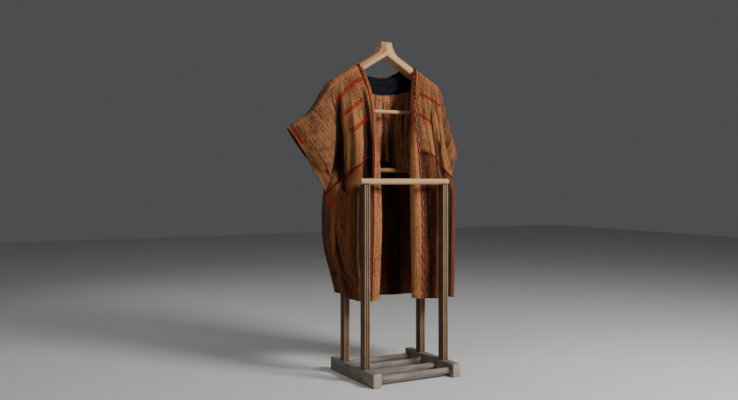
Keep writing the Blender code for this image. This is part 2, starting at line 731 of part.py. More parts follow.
def hanger_arm(name, side):
    """Half of the hanger: its neck and one sloping arm, with a joint down the middle."""
    slope, neck = (ARM_SLOPE_LEFT, NECK_HALF_LEFT) if side < 0 else (ARM_SLOPE_RIGHT, NECK_HALF_RIGHT)
    inner_top = ARM_AT_TENTH + 0.1 * (ARM_SLOPE_LEFT + ARM_SLOPE_RIGHT) / 2

    def top(x):
        return ARM_AT_TENTH - slope * (x - 0.1)

    profile = [
        (GAP / 2, HANGER_TOP),
        (neck, HANGER_TOP),
        (neck + 0.002, HANGER_TOP - 0.016),
        (neck + 0.008, HANGER_TOP - 0.032),
        (neck + 0.020, top(neck + 0.020)),
        (HANGER_END - 0.008, top(HANGER_END - 0.008)),
        (HANGER_END, top(HANGER_END) - 0.008),
        (HANGER_END, top(HANGER_END) - ARM_THICK + 0.008),
        (HANGER_END - 0.008, top(HANGER_END - 0.008) - ARM_THICK),
        (GAP / 2, inner_top - ARM_THICK),
    ]
    outline = [(side * x, z) for x, z in profile]
    near, far = HANGER_Y - HANGER_DEEP / 2, HANGER_Y + HANGER_DEEP / 2
    arm = prism(name, outline, near, far, "y", BIRCH, HANGER_ROUND)
    for vert in arm.data.vertices:
        share = max(0.0, (vert.co.z - NECK_TAPER_FROM) / (HANGER_TOP - NECK_TAPER_FROM))
        vert.co.y = HANGER_Y + (vert.co.y - HANGER_Y) * (1 - NECK_TAPER * share)
    return arm


def stand():
    """The wooden valet stand: feet, shoe rods, posts, rails, front bar and hanger."""
    half_long = FOOT_LONG / 2
    for name, side in (("left", -1), ("right", 1)):
        x = side * FOOT_X
        low = (x - FOOT_WIDE / 2, -half_long, 0.0)
        high = (x + FOOT_WIDE / 2, half_long, FOOT_HIGH)
        block(f"foot_{name}", low, high, 0.004, WEATHERED)
        front = post_outline(x, -POST_Y)
        prism(f"post_front_{name}", front, FOOT_HIGH + GAP, FRONT_POST_TOP, "z", REDWOOD)
        back = prism(f"post_back_{name}", post_outline(x, POST_Y), FOOT_HIGH + GAP, 0.9, "z", REDWOOD)
        for vert in back.data.vertices:
            if vert.co.z > 0.5:
                vert.co.z = arm_top(vert.co.x) - ARM_THICK - 3 * GAP
        hanger_arm(f"hanger_{name}", side)
    inner = FOOT_X - FOOT_WIDE / 2 - GAP
    for i in range(4):
        rod(f"shoe_rod_{i + 1}", ROD_RADIUS, (-inner, inner), ROD_FIRST_Y + ROD_PITCH * i, ROD_Z, WEATHERED)
    between = FOOT_X - POST_WIDE / 2 - GAP
    for name, z, radius in RAILS:
        rod(name, radius, (-between, between), POST_Y, z, BIRCH)
    bar_z = FRONT_POST_TOP + GAP + FRONT_BAR_RADIUS
    rod("front_bar", FRONT_BAR_RADIUS, (-FRONT_BAR_REACH, FRONT_BAR_REACH), -POST_Y, bar_z, BIRCH)


def centre_on_origin():
    """Moves every piece so that the whole stands over the origin."""
    bpy.context.view_layer.update()
    graph = bpy.context.evaluated_depsgraph_get()
    lows, highs = [], []
    pieces = list(bpy.data.collections["kaftan_on_stand"].objects)
    for obj in pieces:
        shape = obj.evaluated_get(graph)
        mesh = shape.to_mesh()
        points = np.array([obj.matrix_world @ v.co for v in mesh.vertices])
        shape.to_mesh_clear()
        lows.append(points.min(0))
        highs.append(points.max(0))
    low, high = np.min(lows, axis=0), np.max(highs, axis=0)
    for obj in pieces:
        obj.location.x -= (low[0] + high[0]) / 2
        obj.location.y -= (low[1] + high[1]) / 2
        obj.location.z -= low[2]
    print("moved by", [round(float(v), 5) for v in (low[0] + high[0], low[1] + high[1], low[2])])


def main():
    for obj in list(bpy.data.objects):
        bpy.data.objects.remove(obj, do_unlink=True)
    made = bpy.data.collections.new("kaftan_on_stand")
    bpy.context.scene.collection.children.link(made)
    stand()
    robe()
    centre_on_origin()


main()
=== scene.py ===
"""A short open-fronted wool kaftan on a wooden valet stand: its looks, laid out as a Blender add-on.

The cloth, its stitching and braids and the stand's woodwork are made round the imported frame.
Everything is worked out about the middle of the stand's two feet and moved to the frame's place at the end.
"""

import functools
import math
from collections import namedtuple

import bmesh
import bpy
import numpy as np
from bpy.props import FloatProperty, FloatVectorProperty, PointerProperty
from mathutils import Matrix, Vector, noise


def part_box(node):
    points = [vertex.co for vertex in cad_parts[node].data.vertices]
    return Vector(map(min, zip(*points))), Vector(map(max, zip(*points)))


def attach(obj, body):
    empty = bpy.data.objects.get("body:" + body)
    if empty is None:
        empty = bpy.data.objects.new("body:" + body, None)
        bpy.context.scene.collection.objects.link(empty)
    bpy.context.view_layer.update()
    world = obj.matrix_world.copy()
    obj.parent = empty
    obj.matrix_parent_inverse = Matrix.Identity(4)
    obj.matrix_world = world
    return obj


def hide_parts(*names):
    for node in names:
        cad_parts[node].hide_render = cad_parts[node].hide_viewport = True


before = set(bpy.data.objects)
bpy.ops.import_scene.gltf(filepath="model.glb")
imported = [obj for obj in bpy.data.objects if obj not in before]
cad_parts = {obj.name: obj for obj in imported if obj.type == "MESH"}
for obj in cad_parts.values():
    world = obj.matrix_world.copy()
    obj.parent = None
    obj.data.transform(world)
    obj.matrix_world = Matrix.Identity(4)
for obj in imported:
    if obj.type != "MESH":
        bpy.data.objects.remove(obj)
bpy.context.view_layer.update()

bl_info = {
    "name": "Kaftan on a valet stand",
    "version": (1, 0, 0),
    "blender": (4, 5, 0),
    "location": "3D View > Sidebar > Kaftan",
    "description": "Makes a striped wool kaftan with red stitching, hung on a wooden valet stand",
    "category": "Object",
}

# The frame's own place: the middle of the two feet
PLACE = Vector(((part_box("foot_left")[0].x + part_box("foot_right")[1].x) / 2, 0.0, 0.0))

# Cloth
WALL = 0.0020
LINING_WALL = 0.0010
GAP = 0.0003
CELL = 0.0042  # side of the finest cells of cloth

# Stand
FOOT_X = 0.150
FOOT_WIDE = 0.030
FOOT_HIGH = 0.045
FOOT_LONG = 0.304
POST_WIDE = 0.020
POST_DEEP = 0.030
POST_Y = 0.071
GROOVE_WIDE = 0.0034
GROOVE_DEEP = 0.0020
FRONT_POST_TOP = 0.6345
FRONT_BAR_RADIUS = 0.010
FRONT_BAR_REACH = 0.168
ROD_RADIUS = 0.0105
ROD_Z = 0.0205
ROD_FIRST_Y = -0.126
ROD_PITCH = 0.084
RAILS = (("rail_upper", 0.886, 0.0065), ("rail_lower", 0.684, 0.0080))  # name, height, radius

# Hanger
HANGER_Y = 0.070
HANGER_DEEP = 0.050
HANGER_TOP = 1.125
HANGER_END = 0.204
ARM_AT_TENTH = 1.044
ARM_SLOPE_LEFT = 0.62
ARM_SLOPE_RIGHT = 0.60
ARM_THICK = 0.030
NECK_HALF_LEFT = 0.019
NECK_HALF_RIGHT = 0.024
HANGER_ROUND = 0.007
NECK_TAPER_FROM = 1.068
NECK_TAPER = 0.35

# Garment
NECK_LEFT = -0.106
NECK_RIGHT = 0.106
ARM_TOP_LEFT = -0.215
ARM_TOP_RIGHT = 0.214
LIFT = WALL / 2 + 0.0016
NECK_ROW = 0.0038
RIDGE_BLEND = 0.10
NECK_BLEND = 0.045
UNDERARM = 0.600
CORNER = 0.80

FRONT_COLUMNS = 18
BACK_HALF_COLUMNS = 24
UPPER_ROWS = 14
LOWER_ROWS = 14
BAND_COLUMNS = 8

Roll = namedtuple("Roll", "out down")
ROLL = (Roll(0.0, 0.0), Roll(0.48, 0.0), Roll(0.73, 0.0018), Roll(0.91, 0.0070), Roll(1.0, 0.0150))
ROLL_STEPS = (4, 3, 3, 3)  # finer rows between each two of those

Level = namedtuple("Level", "z edge side front arm_front arm_back")
LEFT = (
    Level(0.235, -0.103, -0.166, -0.026, 0.062, 0.062),
    Level(0.280, -0.102, -0.178, -0.028, 0.064, 0.064),
    Level(0.330, -0.101, -0.191, -0.030, 0.066, 0.066),
    Level(0.400, -0.100, -0.213, -0.033, 0.066, 0.066),
    Level(0.460, -0.099, -0.223, -0.035, 0.066, 0.066),
    Level(0.540, -0.098, -0.225, -0.036, 0.064, 0.064),
    Level(0.600, -0.097, -0.223, -0.035, 0.062, 0.062),
    Level(0.655, -0.096, -0.213, -0.033, 0.052, 0.098),
    Level(0.740, -0.091, -0.203, -0.026, 0.043, 0.119),
    Level(0.820, -0.086, -0.200, -0.012, 0.041, 0.117),
    Level(0.900, -0.080, -0.204, 0.010, 0.040, 0.110),
    Level(0.960, -0.082, -0.212, 0.028, 0.041, 0.102),
    Level(1.000, -0.091, -0.215, 0.038, 0.041, 0.100),
    Level(1.040, -0.096, -0.215, 0.041, 0.041, 0.100),
)
RIGHT = (
    Level(0.225, 0.094, 0.260, -0.024, 0.064, 0.064),
    Level(0.300, 0.093, 0.262, -0.027, 0.064, 0.064),
    Level(0.380, 0.092, 0.263, -0.029, 0.066, 0.066),
    Level(0.460, 0.091, 0.264, -0.030, 0.066, 0.066),
    Level(0.540, 0.089, 0.265, -0.031, 0.064, 0.064),
    Level(0.600, 0.087, 0.266, -0.030, 0.064, 0.064),
    Level(0.655, 0.085, 0.260, -0.027, 0.046, 0.096),
    Level(0.740, 0.082, 0.238, -0.020, 0.036, 0.119),
    Level(0.820, 0.081, 0.223, -0.006, 0.036, 0.117),
    Level(0.900, 0.088, 0.217, 0.014, 0.038, 0.110),
    Level(0.960, 0.094, 0.214, 0.030, 0.040, 0.102),
    Level(1.000, 0.100, 0.214, 0.037, 0.041, 0.100),
    Level(1.046, 0.104, 0.214, 0.041, 0.041, 0.100),
)
BackLevel = namedtuple("BackLevel", "z y")
BACK = (
    BackLevel(0.230, 0.128),
    BackLevel(0.330, 0.131),
    BackLevel(0.460, 0.134),
    BackLevel(0.607, 0.134),
    BackLevel(0.740, 0.130),
    BackLevel(0.820, 0.124),
    BackLevel(0.900, 0.114),
    BackLevel(0.960, 0.107),
    BackLevel(1.000, 0.104),
    BackLevel(1.046, 0.104),
)
NeckPoint = namedtuple("NeckPoint", "x y z")
NECKLINE = (
    NeckPoint(-0.098, 0.086, 1.0485),
    NeckPoint(-0.091, 0.1005, 1.0490),
    NeckPoint(-0.074, 0.1045, 1.0270),
    NeckPoint(-0.046, 0.1055, 1.0110),
    NeckPoint(-0.005, 0.1060, 1.0065),
    NeckPoint(0.035, 0.1055, 1.0110),
    NeckPoint(0.073, 0.1045, 1.0270),
    NeckPoint(0.090, 0.1005, 1.0515),
    NeckPoint(0.098, 0.086, 1.0490),
)
Line = namedtuple("Line", "edge middle side")
SEAM_LEFT = Line(0.738, 0.682, UNDERARM)
SEAM_RIGHT = Line(0.757, 0.708, UNDERARM)
HEM_LEFT = Line(0.252, 0.258, 0.276)
HEM_RIGHT = Line(0.248, 0.240, 0.232)
BACK_SEAM = 0.722
BACK_HEM = 0.246

Along = namedtuple("Along", "ridge_x ridge_z under_x under_z bulge_front bulge_back")
SLEEVE_LEFT = (
    Along(-0.2150, 0.9700, -0.2230, 0.6000, 0.000, 0.000),
    Along(-0.2340, 0.9420, -0.2290, 0.6150, 0.014, 0.004),
    Along(-0.2570, 0.9080, -0.2370, 0.6320, 0.024, 0.008),
    Along(-0.2780, 0.8800, -0.2490, 0.6500, 0.026, 0.010),
    Along(-0.3000, 0.8610, -0.2620, 0.6660, 0.022, 0.010),
    Along(-0.3220, 0.8460, -0.2730, 0.6820, 0.015, 0.008),
    Along(-0.3440, 0.8320, -0.2840, 0.7000, 0.006, 0.004),
    Along(-0.3660, 0.8180, -0.2950, 0.7200, 0.000, 0.000),
)
SLEEVE_RIGHT = (
    Along(0.2140, 0.9710, 0.2660, 0.6000, 0.000, 0.000),
    Along(0.2270, 0.9480, 0.2700, 0.6150, 0.007, 0.004),
    Along(0.2385, 0.9180, 0.2740, 0.6300, 0.013, 0.008),
    Along(0.2500, 0.8880, 0.2770, 0.6450, 0.017, 0.010),
    Along(0.2630, 0.8560, 0.2800, 0.6600, 0.017, 0.010),
    Along(0.2770, 0.8240, 0.2830, 0.6750, 0.013, 0.008),
    Along(0.2930, 0.7900, 0.2860, 0.6890, 0.006, 0.004),
    Along(0.3110, 0.7570, 0.2880, 0.7030, 0.000, 0.000),
)
SLEEVE_STEPS = 6  # finer columns between each two rows of those tables
CUFF_HALF_LEFT = 0.012
CUFF_HALF_RIGHT = 0.020
CUFF_Y_LEFT = 0.058
CUFF_Y_RIGHT = 0.082

Fold = namedtuple("Fold", "at width depth low high drift")
FOLDS_LEFT = (
    Fold(0.17, 0.14, -0.018, 0.20, 0.95, 0.02),
    Fold(0.42, 0.17, 0.012, 0.20, 0.97, -0.04),
    Fold(0.60, 0.12, -0.010, 0.25, 0.70, -0.02),
    Fold(0.74, 0.14, 0.012, 0.30, 0.63, 0.10),
    Fold(0.90, 0.11, -0.011, 0.28, 0.60, -0.04),
)
FOLDS_RIGHT = (
    Fold(0.26, 0.18, 0.009, 0.20, 0.97, 0.04),
    Fold(0.54, 0.16, -0.015, 0.20, 0.95, -0.03),
    Fold(0.77, 0.16, 0.009, 0.20, 0.90, 0.02),
    Fold(0.93, 0.12, -0.010, 0.20, 0.62, -0.04),
)
FOLDS_BACK_LEFT = (
    Fold(0.20, 0.17, 0.010, 0.20, 0.93, 0.04),
    Fold(0.46, 0.16, -0.010, 0.20, 0.96, -0.03),
    Fold(0.68, 0.15, 0.011, 0.20, 0.94, 0.05),
    Fold(0.88, 0.13, -0.009, 0.20, 0.62, -0.04),
)
FOLDS_BACK_RIGHT = (
    Fold(0.14, 0.16, -0.009, 0.20, 0.95, 0.03),
    Fold(0.38, 0.17, 0.011, 0.20, 0.93, -0.04),
    Fold(0.62, 0.15, -0.010, 0.20, 0.96, 0.02),
    Fold(0.84, 0.14, 0.010, 0.20, 0.90, 0.03),
)
BandWidth = namedtuple("BandWidth", "z left right")
BAND = (
    BandWidth(0.235, 0.038, 0.036),
    BandWidth(0.640, 0.034, 0.036),
    BandWidth(0.800, 0.017, 0.024),
    BandWidth(0.950, 0.007, 0.010),
    BandWidth(1.046, 0.006, 0.006),
)
TURNS_LEFT = (2, 20)
TURNS_RIGHT = (12, 50)
BAND_TURNS = 0.965

LINING_FOOT = 0.947
LINING_MIDDLE = 0.012
LINING_CURVE = 2.6
LINING_REACH = (-0.128, 0.152)
LINING_GAP = 0.0007
LINING_ROWS = 22

# Creases drawn on the cloth, seen from the front or the back: from a place to a place (x and height),
# with the bow of the line to its left, half its width and its depth (a ridge is plus)
Crease = namedtuple("Crease", "x0 z0 x1 z1 bow width depth")
CREASES_LEFT = (
    Crease(-0.192, 0.985, -0.195, 0.620, 0.001, 0.018, -0.0200),
    Crease(-0.101, 0.960, -0.108, 0.560, 0.000, 0.013, -0.0110),
    Crease(-0.150, 0.960, -0.150, 0.660, 0.003, 0.019, 0.0045),
    Crease(-0.128, 0.985, -0.112, 0.760, -0.006, 0.009, -0.0022),
    Crease(-0.131, 0.890, -0.128, 0.640, 0.004, 0.009, -0.0012),
    Crease(-0.208, 0.590, -0.176, 0.380, 0.010, 0.013, 0.0050),
    Crease(-0.184, 0.620, -0.146, 0.360, 0.010, 0.013, -0.0042),
    Crease(-0.205, 0.470, -0.140, 0.300, 0.010, 0.011, 0.0055),
    Crease(-0.215, 0.420, -0.165, 0.290, 0.010, 0.008, -0.0030),
    Crease(-0.125, 0.640, -0.120, 0.280, 0.004, 0.009, -0.0028),
    Crease(-0.178, 0.680, -0.190, 0.600, 0.006, 0.008, -0.0030),
)
CREASES_RIGHT = (
    Crease(0.161, 0.905, 0.166, 0.600, 0.000, 0.013, -0.0090),
    Crease(0.128, 0.985, 0.122, 0.770, 0.004, 0.008, -0.0024),
    Crease(0.150, 0.975, 0.158, 0.800, -0.004, 0.009, 0.0020),
    Crease(0.180, 0.955, 0.196, 0.740, -0.006, 0.011, -0.0050),
    Crease(0.198, 0.940, 0.222, 0.760, -0.004, 0.008, 0.0020),
    Crease(0.120, 0.730, 0.118, 0.420, 0.003, 0.008, -0.0030),
    Crease(0.150, 0.715, 0.148, 0.300, 0.005, 0.010, 0.0030),
    Crease(0.172, 0.700, 0.180, 0.330, -0.004, 0.009, -0.0036),
    Crease(0.200, 0.670, 0.208, 0.290, -0.006, 0.009, 0.0030),
    Crease(0.226, 0.640, 0.232, 0.330, -0.004, 0.008, -0.0028),
    Crease(0.238, 0.690, 0.190, 0.600, -0.010, 0.008, 0.0020),
)
CREASES_BACK = (
    Crease(-0.150, 0.960, -0.160, 0.640, 0.006, 0.010, -0.0030),
    Crease(-0.100, 0.960, -0.085, 0.560, -0.006, 0.011, 0.0028),
    Crease(-0.050, 0.960, -0.058, 0.600, 0.005, 0.009, -0.0030),
    Crease(-0.022, 0.965, -0.014, 0.700, 0.004, 0.009, 0.0030),
    Crease(0.018, 0.960, 0.026, 0.600, -0.004, 0.009, -0.0034),
    Crease(0.052, 0.950, 0.044, 0.560, 0.004, 0.009, 0.0030),
    Crease(0.096, 0.960, 0.110, 0.620, -0.006, 0.010, -0.0030),
    Crease(0.150, 0.940, 0.170, 0.640, -0.006, 0.011, 0.0028),
    Crease(-0.180, 0.690, -0.120, 0.520, 0.010, 0.009, 0.0028),
    Crease(0.215, 0.690, 0.160, 0.520, -0.010, 0.009, 0.0028),
    Crease(-0.070, 0.640, -0.090, 0.280, 0.006, 0.010, -0.0030),
    Crease(0.010, 0.660, 0.000, 0.270, 0.005, 0.011, 0.0030),
    Crease(0.080, 0.650, 0.095, 0.270, -0.005, 0.010, -0.0032),
    Crease(0.150, 0.560, 0.165, 0.270, -0.004, 0.010, 0.0028),
    Crease(-0.150, 0.540, -0.138, 0.290, 0.004, 0.010, -0.0028),
)

# Folds along a sleeve: share of the way round (0 the ridge, 0.5 the underarm), half width in
# the same shares, depth, and the shares of its length between which each shows
Furrow = namedtuple("Furrow", "at wide depth first last lean")
FURROWS_LEFT = (
    Furrow(0.20, 0.035, 0.0030, 0.10, 0.95, 0.05),
    Furrow(0.29, 0.030, -0.0030, 0.10, 0.80, 0.06),
    Furrow(0.37, 0.030, 0.0032, 0.05, 0.60, 0.03),
    Furrow(0.43, 0.026, -0.0038, 0.05, 0.50, 0.02),
    Furrow(0.70, 0.040, -0.0030, 0.10, 0.80, -0.04),
    Furrow(0.80, 0.035, 0.0028, 0.10, 0.90, -0.05),
)
FURROWS_RIGHT = (
    Furrow(0.16, 0.035, -0.0024, 0.15, 0.85, 0.04),
    Furrow(0.26, 0.030, 0.0028, 0.15, 0.90, 0.04),
    Furrow(0.36, 0.028, -0.0030, 0.10, 0.75, 0.03),
    Furrow(0.70, 0.040, -0.0028, 0.10, 0.80, -0.04),
    Furrow(0.82, 0.035, 0.0024, 0.10, 0.90, -0.05),
)

# Red stitched bands on the chest: their ends on the front (x and height) and how far each bows upwards
Band = namedtuple("Band", "x0 z0 x1 z1 bow")
BANDS_LEFT = (
    Band(-0.101, 0.991, -0.198, 0.912, 0.011),
    Band(-0.101, 0.920, -0.180, 0.864, 0.006),
    Band(-0.096, 0.853, -0.164, 0.810, 0.004),
)
BANDS_RIGHT = (Band(0.118, 0.950, 0.208, 0.910, 0.003), Band(0.101, 0.877, 0.161, 0.839, 0.003))
BAND_HALF = 0.0042  # from a band's middle to each of its red lines

# Stitches: length, spacing and half the width of a thread
Stitch = namedtuple("Stitch", "long pitch half")
FINE_CHAIN = Stitch(0.0056, 0.0048, 0.0012)
BAND_CHAIN = Stitch(0.0064, 0.0052, 0.0016)
THIN_CHAIN = Stitch(0.0064, 0.0054, 0.0013)
SEAM_CHAIN = Stitch(0.0084, 0.0068, 0.0024)
RUNNING = Stitch(0.0075, 0.0125, 0.0017)
OVERCAST = Stitch(0.0060, 0.0056, 0.0011)
CUFF_OVERCAST = Stitch(0.0066, 0.0050, 0.0015)
UNDERARM_CHAIN = Stitch(0.0076, 0.0062, 0.0021)
EDGE_CHAIN = Stitch(0.0080, 0.0060, 0.0025)
FILLING = Stitch(0, 0.0034, 0.0010)
BRAID_WIDE = 0.0070
BRAID_PALE_BELOW = 0.925  # the height where the braid's cream threads begin to show
# Loop of thread under the left arm: share across the panel, and height
UNDERARM_LOOP = (
    (1.0, 0.612), (0.988, 0.592), (0.96, 0.574), (0.91, 0.562), (0.84, 0.559),
    (0.77, 0.563), (0.71, 0.574), (0.68, 0.588), (0.67, 0.606),
)

# How far the weave's pattern runs over each panel, in metres
Lay = namedtuple("Lay", "width length")
WEAVE = {
    "front_left_upper": Lay(0.20, 0.38),
    "front_left_lower": Lay(0.22, 0.48),
    "front_right_upper": Lay(0.20, 0.38),
    "front_right_lower": Lay(0.27, 0.50),
    "back_upper": Lay(0.56, 0.40),
    "back_lower": Lay(0.56, 0.48),
    "sleeve_left": Lay(0.64, 0.18),
    "sleeve_right": Lay(0.64, 0.13),
    "front_band_left": Lay(0.042, 0.78),
    "front_band_right": Lay(0.042, 0.80),
    "yoke_lining": Lay(0.28, 0.10),
}

# Flat cut of each panel: width, length and area, in metres
Cut = namedtuple("Cut", "width length area")


class ClothSettings(bpy.types.PropertyGroup):
    """Colours and threads of the kaftan"""

    tan: FloatVectorProperty(
        name="Light wool", description="Colour of the wool's light streaks",
        subtype="COLOR", size=3, min=0, max=1, default=(0.42, 0.190, 0.072),
    )
    brown: FloatVectorProperty(
        name="Brown wool", description="Main colour of the wool",
        subtype="COLOR", size=3, min=0, max=1, default=(0.110, 0.043, 0.019),
    )
    dark: FloatVectorProperty(
        name="Stripe", description="Colour of the thin dark stripes",
        subtype="COLOR", size=3, min=0, max=1, default=(0.018, 0.009, 0.007),
    )
    red: FloatVectorProperty(
        name="Red thread", description="Colour of the stitching",
        subtype="COLOR", size=3, min=0, max=1, default=(0.27, 0.0012, 0.0048),
    )
    orange: FloatVectorProperty(
        name="Orange thread", description="Colour of the filling stitches",
        subtype="COLOR", size=3, min=0, max=1, default=(0.30, 0.018, 0.006),
    )
    navy: FloatVectorProperty(
        name="Yoke lining", description="Colour of the lining at the back of the neck",
        subtype="COLOR", size=3, min=0, max=1, default=(0.0038, 0.0040, 0.0056),
    )
    weave: FloatProperty(
        name="Weave", description="Spacing of the wool's threads",
        subtype="DISTANCE", unit="LENGTH", min=0.0005, max=0.005, default=0.0013,
    )
    crumple: FloatProperty(
        name="Crumple", description="Depth of the soft unevenness of the cloth",
        subtype="DISTANCE", unit="LENGTH", min=0, max=0.003, default=0.0012,
    )


class StandSettings(bpy.types.PropertyGroup):
    """Woods of the valet stand"""

    birch: FloatVectorProperty(
        name="Pale wood", description="Colour of the hanger and rails",
        subtype="COLOR", size=3, min=0, max=1, default=(0.58, 0.350, 0.165),
    )
    stained: FloatVectorProperty(
        name="Stained edge", description="Colour of the hanger's upper edge",
        subtype="COLOR", size=3, min=0, max=1, default=(0.50, 0.250, 0.085),
    )
    redwood: FloatVectorProperty(
        name="Post wood", description="Colour of the posts",
        subtype="COLOR", size=3, min=0, max=1, default=(0.125, 0.058, 0.034),
    )
    # Partly painted light: the posts' front fillets paler than their sides, as if lit
    fillet_painted_light: FloatVectorProperty(
        name="Post fillets", description="Colour of the light fillets down the posts",
        subtype="COLOR", size=3, min=0, max=1, default=(0.36, 0.23, 0.125),
    )
    weathered: FloatVectorProperty(
        name="Weathered wood", description="Colour of the feet and shoe rods",
        subtype="COLOR", size=3, min=0, max=1, default=(0.36, 0.305, 0.255),
    )


class StageSettings(bpy.types.PropertyGroup):
    """Floor and light"""

    floor: FloatVectorProperty(
        name="Floor", description="Colour of the floor",
        subtype="COLOR", size=3, min=0, max=1, default=(0.66, 0.65, 0.63),
    )
    key: FloatProperty(
        name="Key light", description="Power of the main light",
        subtype="POWER", unit="POWER", min=0, max=1000, default=88,
    )


def toned(colour, share):
    """A colour made lighter or darker by a share."""
    return [c * share for c in colour]


def smooth(table, column, at):
    """The value of a named column at a height: a smooth curve through the table's rows."""
    keys, values, slopes = column_curve(table, column)
    i = int(np.clip(np.searchsorted(keys, at) - 1, 0, len(keys) - 2))
    step = keys[i + 1] - keys[i]
    t = min(max((at - keys[i]) / step, 0.0), 1.0)
    rise = t * t * (3 - 2 * t)
    start = t * (1 - t) ** 2 * step * slopes[i]
    end = t * t * (t - 1) * step * slopes[i + 1]
    return values[i] * (1 - rise) + values[i + 1] * rise + start + end


@functools.lru_cache(maxsize=None)
def column_curve(table, column):
    """Heights, values and slopes of a table's column."""
    keys = [row[0] for row in table]
    values = [getattr(row, column) for row in table]
    return keys, values, list(np.gradient(values, keys))


def ease(t):
    """A smooth step from 0 to 1."""
    t = min(max(t, 0.0), 1.0)
    return t * t * (3 - 2 * t)


def quarter_round(exponent, samples=64):
    """Shares along and across a rounded corner, at even steps of its length."""
    angles = np.linspace(0, math.pi / 2, samples)
    along = np.sin(angles) ** exponent
    across = 1 - np.cos(angles) ** exponent
    run = np.concatenate([[0], np.cumsum(np.hypot(np.diff(along), np.diff(across)))])
    return run / run[-1], along, across


CORNER_RUN, CORNER_ALONG, CORNER_ACROSS = quarter_round(CORNER)


def corner(u):
    """Shares along and across the body's rounded plan, from its middle (0) to its side (1)."""
    return float(np.interp(u, CORNER_RUN, CORNER_ALONG)), float(np.interp(u, CORNER_RUN, CORNER_ACROSS))


def line_height(line, u):
    """A seam's or hem's height at a place across one front or half the back."""
    bow = line.middle - (line.edge + line.side) / 2
    return line.edge + (line.side - line.edge) * u + bow * math.sin(math.pi * u)


def arm_top(x):
    """The top of the hanger's arm."""
    slope = ARM_SLOPE_LEFT if x < 0 else ARM_SLOPE_RIGHT
    return ARM_AT_TENTH - slope * (abs(x) - 0.1)


def ridge_height(x):
    """Height of the shoulder line between the neck and the armhole."""
    sleeve, arm = (SLEEVE_LEFT, ARM_TOP_LEFT) if x < 0 else (SLEEVE_RIGHT, ARM_TOP_RIGHT)
    reach = (abs(x) - HANGER_END + 0.002) / (abs(arm) - HANGER_END + 0.002)
    return arm_top(x) + LIFT + (sleeve[0].ridge_z - arm_top(arm) - LIFT) * ease(reach)


def fold_depth(folds, u, z):
    """How far the folds push the cloth out at a place."""
    total = 0.0
    for fold in folds:
        down = (fold.high - z) / (fold.high - fold.low)
        if not 0.0 < down < 1.2:
            continue
        away = abs(u - fold.at - fold.drift * down) / fold.width
        if away < 1.0:
            strength = ease(down / 0.3) * (1 - ease((down - 0.95) / 0.25))
            total += fold.depth * strength * 0.5 * (1 + math.cos(math.pi * away))
    return total


def plan_point(levels, folds, u, z, face):
    """The body's plan at a height: the front of one side, or half of the back."""
    along, across = corner(u)
    above = ease((z - UNDERARM) / 0.07)
    along += (u - along) * 0.6 * above
    across += (u * u - across) * above
    side_x = smooth(levels, "side", z)
    if face == "front":
        start_x, start_y = smooth(levels, "edge", z), smooth(levels, "front", z)
        side_y, out = smooth(levels, "arm_front", z), -1.0
    else:
        start_x, start_y = 0.0, smooth(BACK, "y", z)
        side_y, out = smooth(levels, "arm_back", z), 1.0
    x = start_x + (side_x - start_x) * along
    y = start_y + (side_y - start_y) * across
    depth = fold_depth(folds, u, z) * math.sin(math.pi * min(1.0, (1.0 - u) * 4) / 2)
    turn = u ** 3 * math.pi / 2
    return x + math.copysign(depth * math.sin(turn), side_x), y + out * depth * math.cos(turn)


def column_heights(top, seam, hem, spread):
    """Heights of a column's points: the shoulder roll, the upper width, then the lower width."""
    roll = [top - step.down * (1 - spread) - NECK_ROW * i * spread for i, step in enumerate(ROLL)]
    upper = [roll[-1] + (seam - roll[-1]) * i / UPPER_ROWS for i in range(1, UPPER_ROWS + 1)]
    lower = [seam + (hem - seam) * i / LOWER_ROWS for i in range(1, LOWER_ROWS + 1)]
    return roll + upper + lower


def column(levels, folds, u, face, top_point, seam, hem):
    """One column of cloth from the shoulder or neckline down to the hem."""
    top_x, top_y, top_z = top_point
    _, rest_y = plan_point(levels, folds, u, top_z, face)
    spread = ease((abs(top_y - HANGER_Y) - 0.012) / 0.018)
    blend = RIDGE_BLEND if face == "back" else NECK_BLEND + (RIDGE_BLEND - NECK_BLEND) * ease(u / 0.4)
    points = []
    for i, z in enumerate(column_heights(top_z, seam, hem, spread)):
        x, y = plan_point(levels, folds, u, z, face)
        share = ease((top_z - z) / blend)
        out = ROLL[i].out if i < len(ROLL) else 1.0
        start_y = top_y if spread < 0.5 else top_y + (y - rest_y) * 0.5
        points.append((top_x + (x - top_x) * share, start_y + (y - start_y) * out, z))
    return points


def front_grid(levels, folds, neck, seam, hem):
    """A front from its free edge to its armhole and side: rows down, columns across."""
    arm = ARM_TOP_LEFT if neck < 0 else ARM_TOP_RIGHT
    columns = []
    for i in range(FRONT_COLUMNS + 1):
        u = i / FRONT_COLUMNS
        x = neck + (arm - neck) * u
        top = (x, HANGER_Y, ridge_height(x))
        columns.append(column(levels, folds, u, "front", top, line_height(seam, u), line_height(hem, u)))
    return np.array(columns).transpose(1, 0, 2)


def back_top(x):
    """The back's upper edge: the shoulder line, or the neckline between its ends."""
    if x <= NECK_LEFT or x >= NECK_RIGHT:
        return x, HANGER_Y, ridge_height(x)
    ends = [NeckPoint(end, HANGER_Y, ridge_height(end)) for end in (NECK_LEFT, NECK_RIGHT)]
    rows = [ends[0], *NECKLINE, ends[1]]
    keys = [row.x for row in rows]
    return x, float(np.interp(x, keys, [row.y for row in rows])), float(np.interp(x, keys, [row.z for row in rows]))


def back_places():
    """Places of the back's columns along its top, with one at each row of the neckline near the shoulders."""
    shares = np.linspace(ARM_TOP_LEFT, ARM_TOP_RIGHT, 2 * BACK_HALF_COLUMNS + 1)
    wanted = [NECK_LEFT, NECKLINE[0].x, NECKLINE[1].x, NECKLINE[-2].x, NECKLINE[-1].x, NECK_RIGHT]
    kept = [x for x in shares if min(abs(x - w) for w in wanted) > 0.0040]
    return sorted(kept + wanted)


